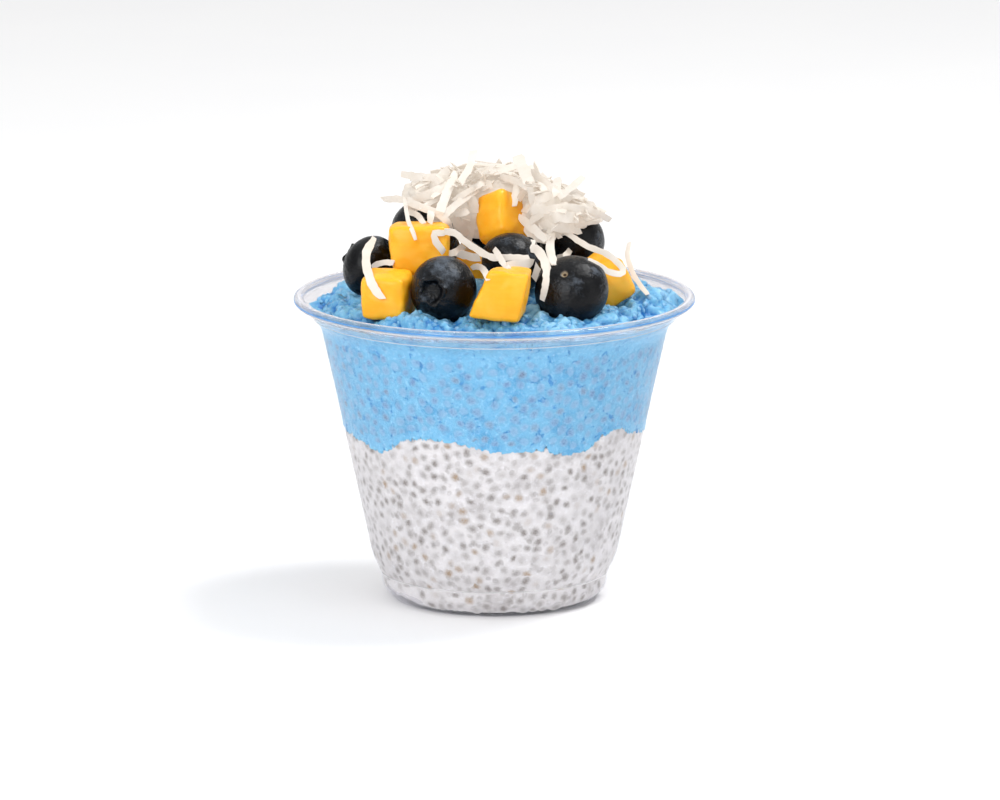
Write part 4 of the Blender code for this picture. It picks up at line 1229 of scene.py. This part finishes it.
def fallen_line(trees, draw, middle, heading, length, bow):
    """A strip dropped on the heap: its points lie on what is under them, its ends a little up."""
    side = Vector((-heading.y, heading.x, 0))
    count = max(5, round(length / STRIP_STEP))
    lift = draw.uniform(*FALLEN_LIFT)
    shares = [2 * i / count - 1 for i in range(count + 1)]
    spots = [middle + heading * share * (length / 2) + side * bow * (share * share - FALLEN_BOW_MIDDLE)
             for share in shares]
    falls = [nearest_hit(trees, Vector((spot.x, spot.y, DROP_FROM)), Vector((0, 0, -1)), DEEPEST_DROP)
             - STRIP_REST for spot in spots]
    if max(falls) - min(falls) > FALLEN_STEEPEST * length:
        return None
    return [Vector((spot.x, spot.y, DROP_FROM - fall + lift * length * share * share))
            for spot, fall, share in zip(spots, averaged(bridged(falls), 3), shares)]


def combed_line(draw, centre, size, layer):
    """A nearly straight strip that touches a mound's side in its middle, its ends in the air."""
    turn = draw.uniform(0, math.tau)
    lift = math.asin(draw.uniform(COMBED_LOWEST, 1.0))
    out = Vector((math.cos(turn) * math.cos(lift), math.sin(turn) * math.cos(lift), math.sin(lift)))
    facing = Vector([out[k] / size[k] for k in range(3)]).normalized()
    middle = Vector(centre) + Vector([out[k] * size[k] for k in range(3)]) + facing * layer
    along = facing.orthogonal()
    along.rotate(Matrix.Rotation(draw.uniform(0, math.tau), 3, facing))
    side = facing.cross(along)
    length = draw.uniform(*COMBED_LENGTH)
    tilt = draw.uniform(-COMBED_TILT, COMBED_TILT)
    bow = draw.uniform(*COMBED_BOW) * length
    sway = draw.uniform(-COMBED_SWAY, COMBED_SWAY) * length
    shift = draw.uniform(-COMBED_SHIFT, COMBED_SHIFT)
    rolled = facing.copy()
    rolled.rotate(Matrix.Rotation(draw.uniform(-COMBED_ROLL, COMBED_ROLL), 3, along))
    count = max(5, round(length / STRIP_STEP))
    line = []
    for i in range(count + 1):
        share = 2 * i / count - 1
        line.append(middle + along * (share + shift) * length / 2 + side * sway * share * share
                    + facing * (tilt * share * length / 2 - bow * share * share))
    return line, rolled


def clear_of(trees, line, room):
    """True where no point of a line lies in a piece or nearer to it than the room given."""
    for point in line:
        for tree in trees:
            spot, normal, _, far = tree.find_nearest(point)
            if far < room or (point - spot).dot(normal) < 0:
                return False
    return True


def allowed(ground, line, over):
    """True where a strip that the camera sees keeps to the heap's outlines, or rises over by so much."""
    eye = CAMERA_PLACE / MM
    for point in line:
        sight = point - eye
        share = -eye.y / sight.y
        x = eye.x + sight.x * share
        height = eye.z + sight.z * share
        top = np.interp(x, *zip(*HEAP_TOP), left=0, right=0)
        foot = np.interp(x, *zip(*HEAP_FOOT), left=0, right=0)
        if foot <= height <= top + over:
            continue
        far = sight.length
        hit = ground.ray_cast(eye, sight.normalized(), far)
        if height > top + over or hit[0] is None or hit[3] > far - 1:
            return False
    return True


def strip_into(points, faces, line, facing, width, draw):
    """Adds one shred: a ragged ribbon along a line, cupped and twisted, with both sides and ends."""
    steps = len(line) - 1
    work = bmesh.new()
    bmesh.ops.create_grid(work, x_segments=steps, y_segments=2, size=1.0)
    twist = draw.uniform(-STRIP_TWIST, STRIP_TWIST)
    cup = draw.uniform(0.0, STRIP_CUP) * width
    shift = draw.uniform(0, 50)
    cut = (draw.uniform(-STRIP_CUT, STRIP_CUT), draw.uniform(-STRIP_CUT, STRIP_CUT))
    blunt = draw.uniform(*STRIP_ENDS)
    thickness = STRIP_THICKNESS * draw.uniform(*STRIP_THICKNESSES)
    for vertex in work.verts:
        i = round((vertex.co.x + 1) / 2 * steps)
        across = vertex.co.y
        along = (line[min(i + 1, steps)] - line[max(i - 1, 0)]).normalized()
        out = facing[i] - along * facing[i].dot(along)
        out.normalize()
        out.rotate(Matrix.Rotation(twist * (2 * i / steps - 1), 3, along))
        side = out.cross(along)
        ragged = 1
        for share, run, over, layer in STRIP_RAGS:
            ragged += share * noise.noise(Vector((shift + i * run, across * over, layer)))
        end = min(i, steps - i) / max(steps * STRIP_ENDS_REACH, 1)
        narrow = ragged * min(1.0, blunt + (1 - blunt) * end)
        slant = cut[0] if i == 0 else cut[1] if i == steps else 0.0
        wave = STRIP_WAVE * noise.noise(Vector((shift, i * STRIP_WAVE_RUN, across)))
        vertex.co = (line[i] + side * across * narrow * width / 2 + along * slant * across * width * 0.5
                     + out * cup * (1 - across * across) + out * wave)
    work.normal_update()
    bmesh.ops.solidify(work, geom=list(work.faces), thickness=thickness)
    bmesh.ops.recalc_face_normals(work, faces=list(work.faces))
    work.verts.index_update()
    first = len(points)
    points += [vertex.co.copy() for vertex in work.verts]
    faces += [[first + vertex.index for vertex in face.verts] for face in work.faces]
    work.free()


def finish_strips(name, points, faces, material, node):
    mesh = bpy.data.meshes.new(name)
    mesh.from_pydata([tuple(point * MM) for point in points], [], faces)
    finished(name, mesh, material, (node,), sharp_from=45)


def make_core(material):
    """The heap's core, a little inside the part's mounds, rough with the shreds that it is made of."""
    work = bmesh.new()
    for centre, size, under, _ in MOUNDS:
        mound = bmesh.ops.create_icosphere(work, subdivisions=5, radius=1.0)
        for vertex in mound["verts"]:
            at = vertex.co.copy()
            lump = 1 + CORE_UNEVENNESS[0] * noise.noise(at * CORE_UNEVENNESS[1])
            low = Vector((1, 1, under if at.z < 0 else 1))
            place = Vector(centre) + Vector([at[k] * size[k] * low[k] for k in range(3)]) * lump
            vertex.co = (place + at * wavy(place, CORE_ROUGHNESS)) * MM
    return finished("coconut_core", mesh_from(work, "coconut_core"), material, ("coconut_shreds",))


def comb_strips(points, faces, draw, fruit, ground):
    """Shreds that lean on the mounds, clear of the fruit and within the heap's outlines."""
    pieces = [tree_of([piece]) for piece in fruit]
    for centre, size, _, count in MOUNDS:
        made = 0
        for _ in range(count * COMBED_TRIES):
            layer = draw.uniform(*COMBED_LAYER) * (made / count) ** 0.6
            line, facing = combed_line(draw, centre, size, layer)
            if not clear_of(pieces, line, CLEAR_OF_FRUIT):
                continue
            if not allowed(ground, line, draw.choice(STANDING_OUT)):
                continue
            strip_into(points, faces, line, [facing] * len(line), draw.uniform(*COMBED_WIDTH), draw)
            made += 1
            if made == count:
                break


def drop_strips(points, faces, draw, ground):
    """Shreds that have fallen on the heap and lie across the others."""
    laid = [ground, BVHTree.FromPolygons(points, faces)]
    fallen = 0
    for _ in range(FALLEN_STRIPS * FALLEN_TRIES):
        centre, size, _, _ = MOUNDS[draw.choices((0, 1, 2), FALLEN_SHARES)[0]]
        turn = draw.uniform(0, math.tau)
        out = math.sqrt(draw.random()) * FALLEN_REACH
        middle = Vector((centre[0] + out * size[0] * math.cos(turn),
                         centre[1] + out * size[1] * math.sin(turn), 0))
        way = draw.uniform(0, math.tau)
        heading = Vector((math.cos(way), math.sin(way), 0))
        length = draw.uniform(*FALLEN_LENGTH)
        bow = draw.uniform(-FALLEN_BOW, FALLEN_BOW) * length
        line = fallen_line(laid, draw, middle, heading, length, bow)
        if line is None or not allowed(ground, line, 0.0):
            continue
        strip_into(points, faces, line, [Vector((0, 0, 1))] * len(line), draw.uniform(*FALLEN_WIDTH), draw)
        fallen += 1
        if fallen == FALLEN_STRIPS:
            break
        if fallen % FALLEN_BATCH == 0:
            laid = [ground, BVHTree.FromPolygons(points, faces)]


def make_coconut(fruit, pudding, core, material):
    """All the shreds as one mesh: the heap's own, then those that the photograph shows one by one."""
    draw = random.Random(SCATTER_SEED)
    ground = tree_of([*fruit, pudding, core])
    points = []
    faces = []
    comb_strips(points, faces, draw, fruit, ground)
    drop_strips(points, faces, draw, ground)
    for width, line in STRIPS.values():
        laid = [ground, BVHTree.FromPolygons(points, faces)]
        place, facing = seen_line(laid, line, NAMED_REST)
        strip_into(points, faces, place, facing, width, draw)
    finish_strips("coconut_heap", points, faces, material, "coconut_shreds")
    for name, (width, line) in LOOSE_STRIPS.items():
        points = []
        faces = []
        place, facing = seen_line([ground], line, LOOSE_REST)
        strip_into(points, faces, place, facing, width, draw)
        finish_strips("coconut_loose_" + name, points, faces, material, "coconut_strip_" + name)


def make_table():
    """A pale studio table, matt white, wide enough for every view."""
    work = bmesh.new()
    bmesh.ops.create_grid(work, x_segments=4, y_segments=4, size=TABLE_REACH)
    mesh = mesh_from(work, "floor")
    made = new_material("Studio table, matt white")
    faint = add(made, "TexNoise", {"Vector": in_millimetres(made), "Scale": 1 / 60.0, "Detail": 3.0})
    tone = add(made, "Mix", {"Factor": faint, 6: "FBFBFB", 7: "F8F8F9"}, data_type="RGBA")
    shade(made, {"Base Color": tone, "Roughness": 0.8})
    mesh.materials.append(made)
    table = bpy.data.objects.new("floor", mesh)
    bpy.context.scene.collection.objects.link(table)


def make_room():
    """A white room: bright at the height of the eye, greyer above, so that clear edges show."""
    room = bpy.data.worlds.new("White room")
    bpy.context.scene.world = room
    room.use_nodes = True
    place = add(room, "TexCoord")
    split = add(room, "SeparateXYZ", {"Vector": place.outputs["Generated"]})
    ramp = add(room, "ValToRGB", {"Fac": split.outputs["Z"]},
               stops=[(height, (value, value, value, 1.0)) for height, value in ROOM_STOPS])
    set_inputs(room, room.node_tree.nodes["Background"], {"Color": ramp, "Strength": ROOM_STRENGTH})


def make_lamps():
    for name, (place, size, power) in LAMPS.items():
        light = bpy.data.lights.new(name, "AREA")
        light.shape = "RECTANGLE"
        light.size, light.size_y = size
        light.energy = power
        lamp = bpy.data.objects.new(name, light)
        lamp.location = place
        lamp.rotation_euler = (AIM - Vector(place)).to_track_quat("-Z", "Y").to_euler()
        bpy.context.scene.collection.objects.link(lamp)


def make_camera():
    data = bpy.data.cameras.new("photo_view")
    data.lens = LENS
    data.sensor_width = SENSOR
    data.clip_end = FARTHEST_SEEN
    camera = bpy.data.objects.new("photo_view", data)
    camera.location = CAMERA_PLACE
    camera.rotation_euler = (CAMERA_TILT, 0, 0)
    bpy.context.scene.collection.objects.link(camera)
    bpy.context.scene.camera = camera


make_camera()
make_table()
make_room()
make_lamps()
bpy.context.scene.view_settings.view_transform = "Standard"

seed_materials = {kind: seed_material(kind) for kind in SEEDS}
make_cup(clear_plastic())
white = make_white_pudding(gel_material("white"))
white_top = edge_heights(coordinates(white.data), SEAM_ABOVE)
blue = make_blue_pudding(gel_material("blue"), white_top)
blue_top = edge_heights(coordinates(blue.data), SEEDS_TO)
wall_seeds("white", np.full(360, SEEDS_FROM), white_top - SEEDS_UNDER_SEAM)
wall_seeds("blue", white_top + SEEDS_OVER_SEAM, np.minimum(blue_top - SEEDS_UNDER_EDGE, SEEDS_TO))
surface_seeds(blue)
skin = berry_skin()
flesh = mango_flesh()
berries = [make_berry(name, *values, skin, i) for i, (name, values) in enumerate(BLUEBERRIES.items())]
cubes = [make_cube(name, *values, flesh) for name, values in MANGO_CUBES.items()]
shreds = coconut_flesh()
make_coconut([*berries, *cubes], blue, make_core(shreds), shreds)
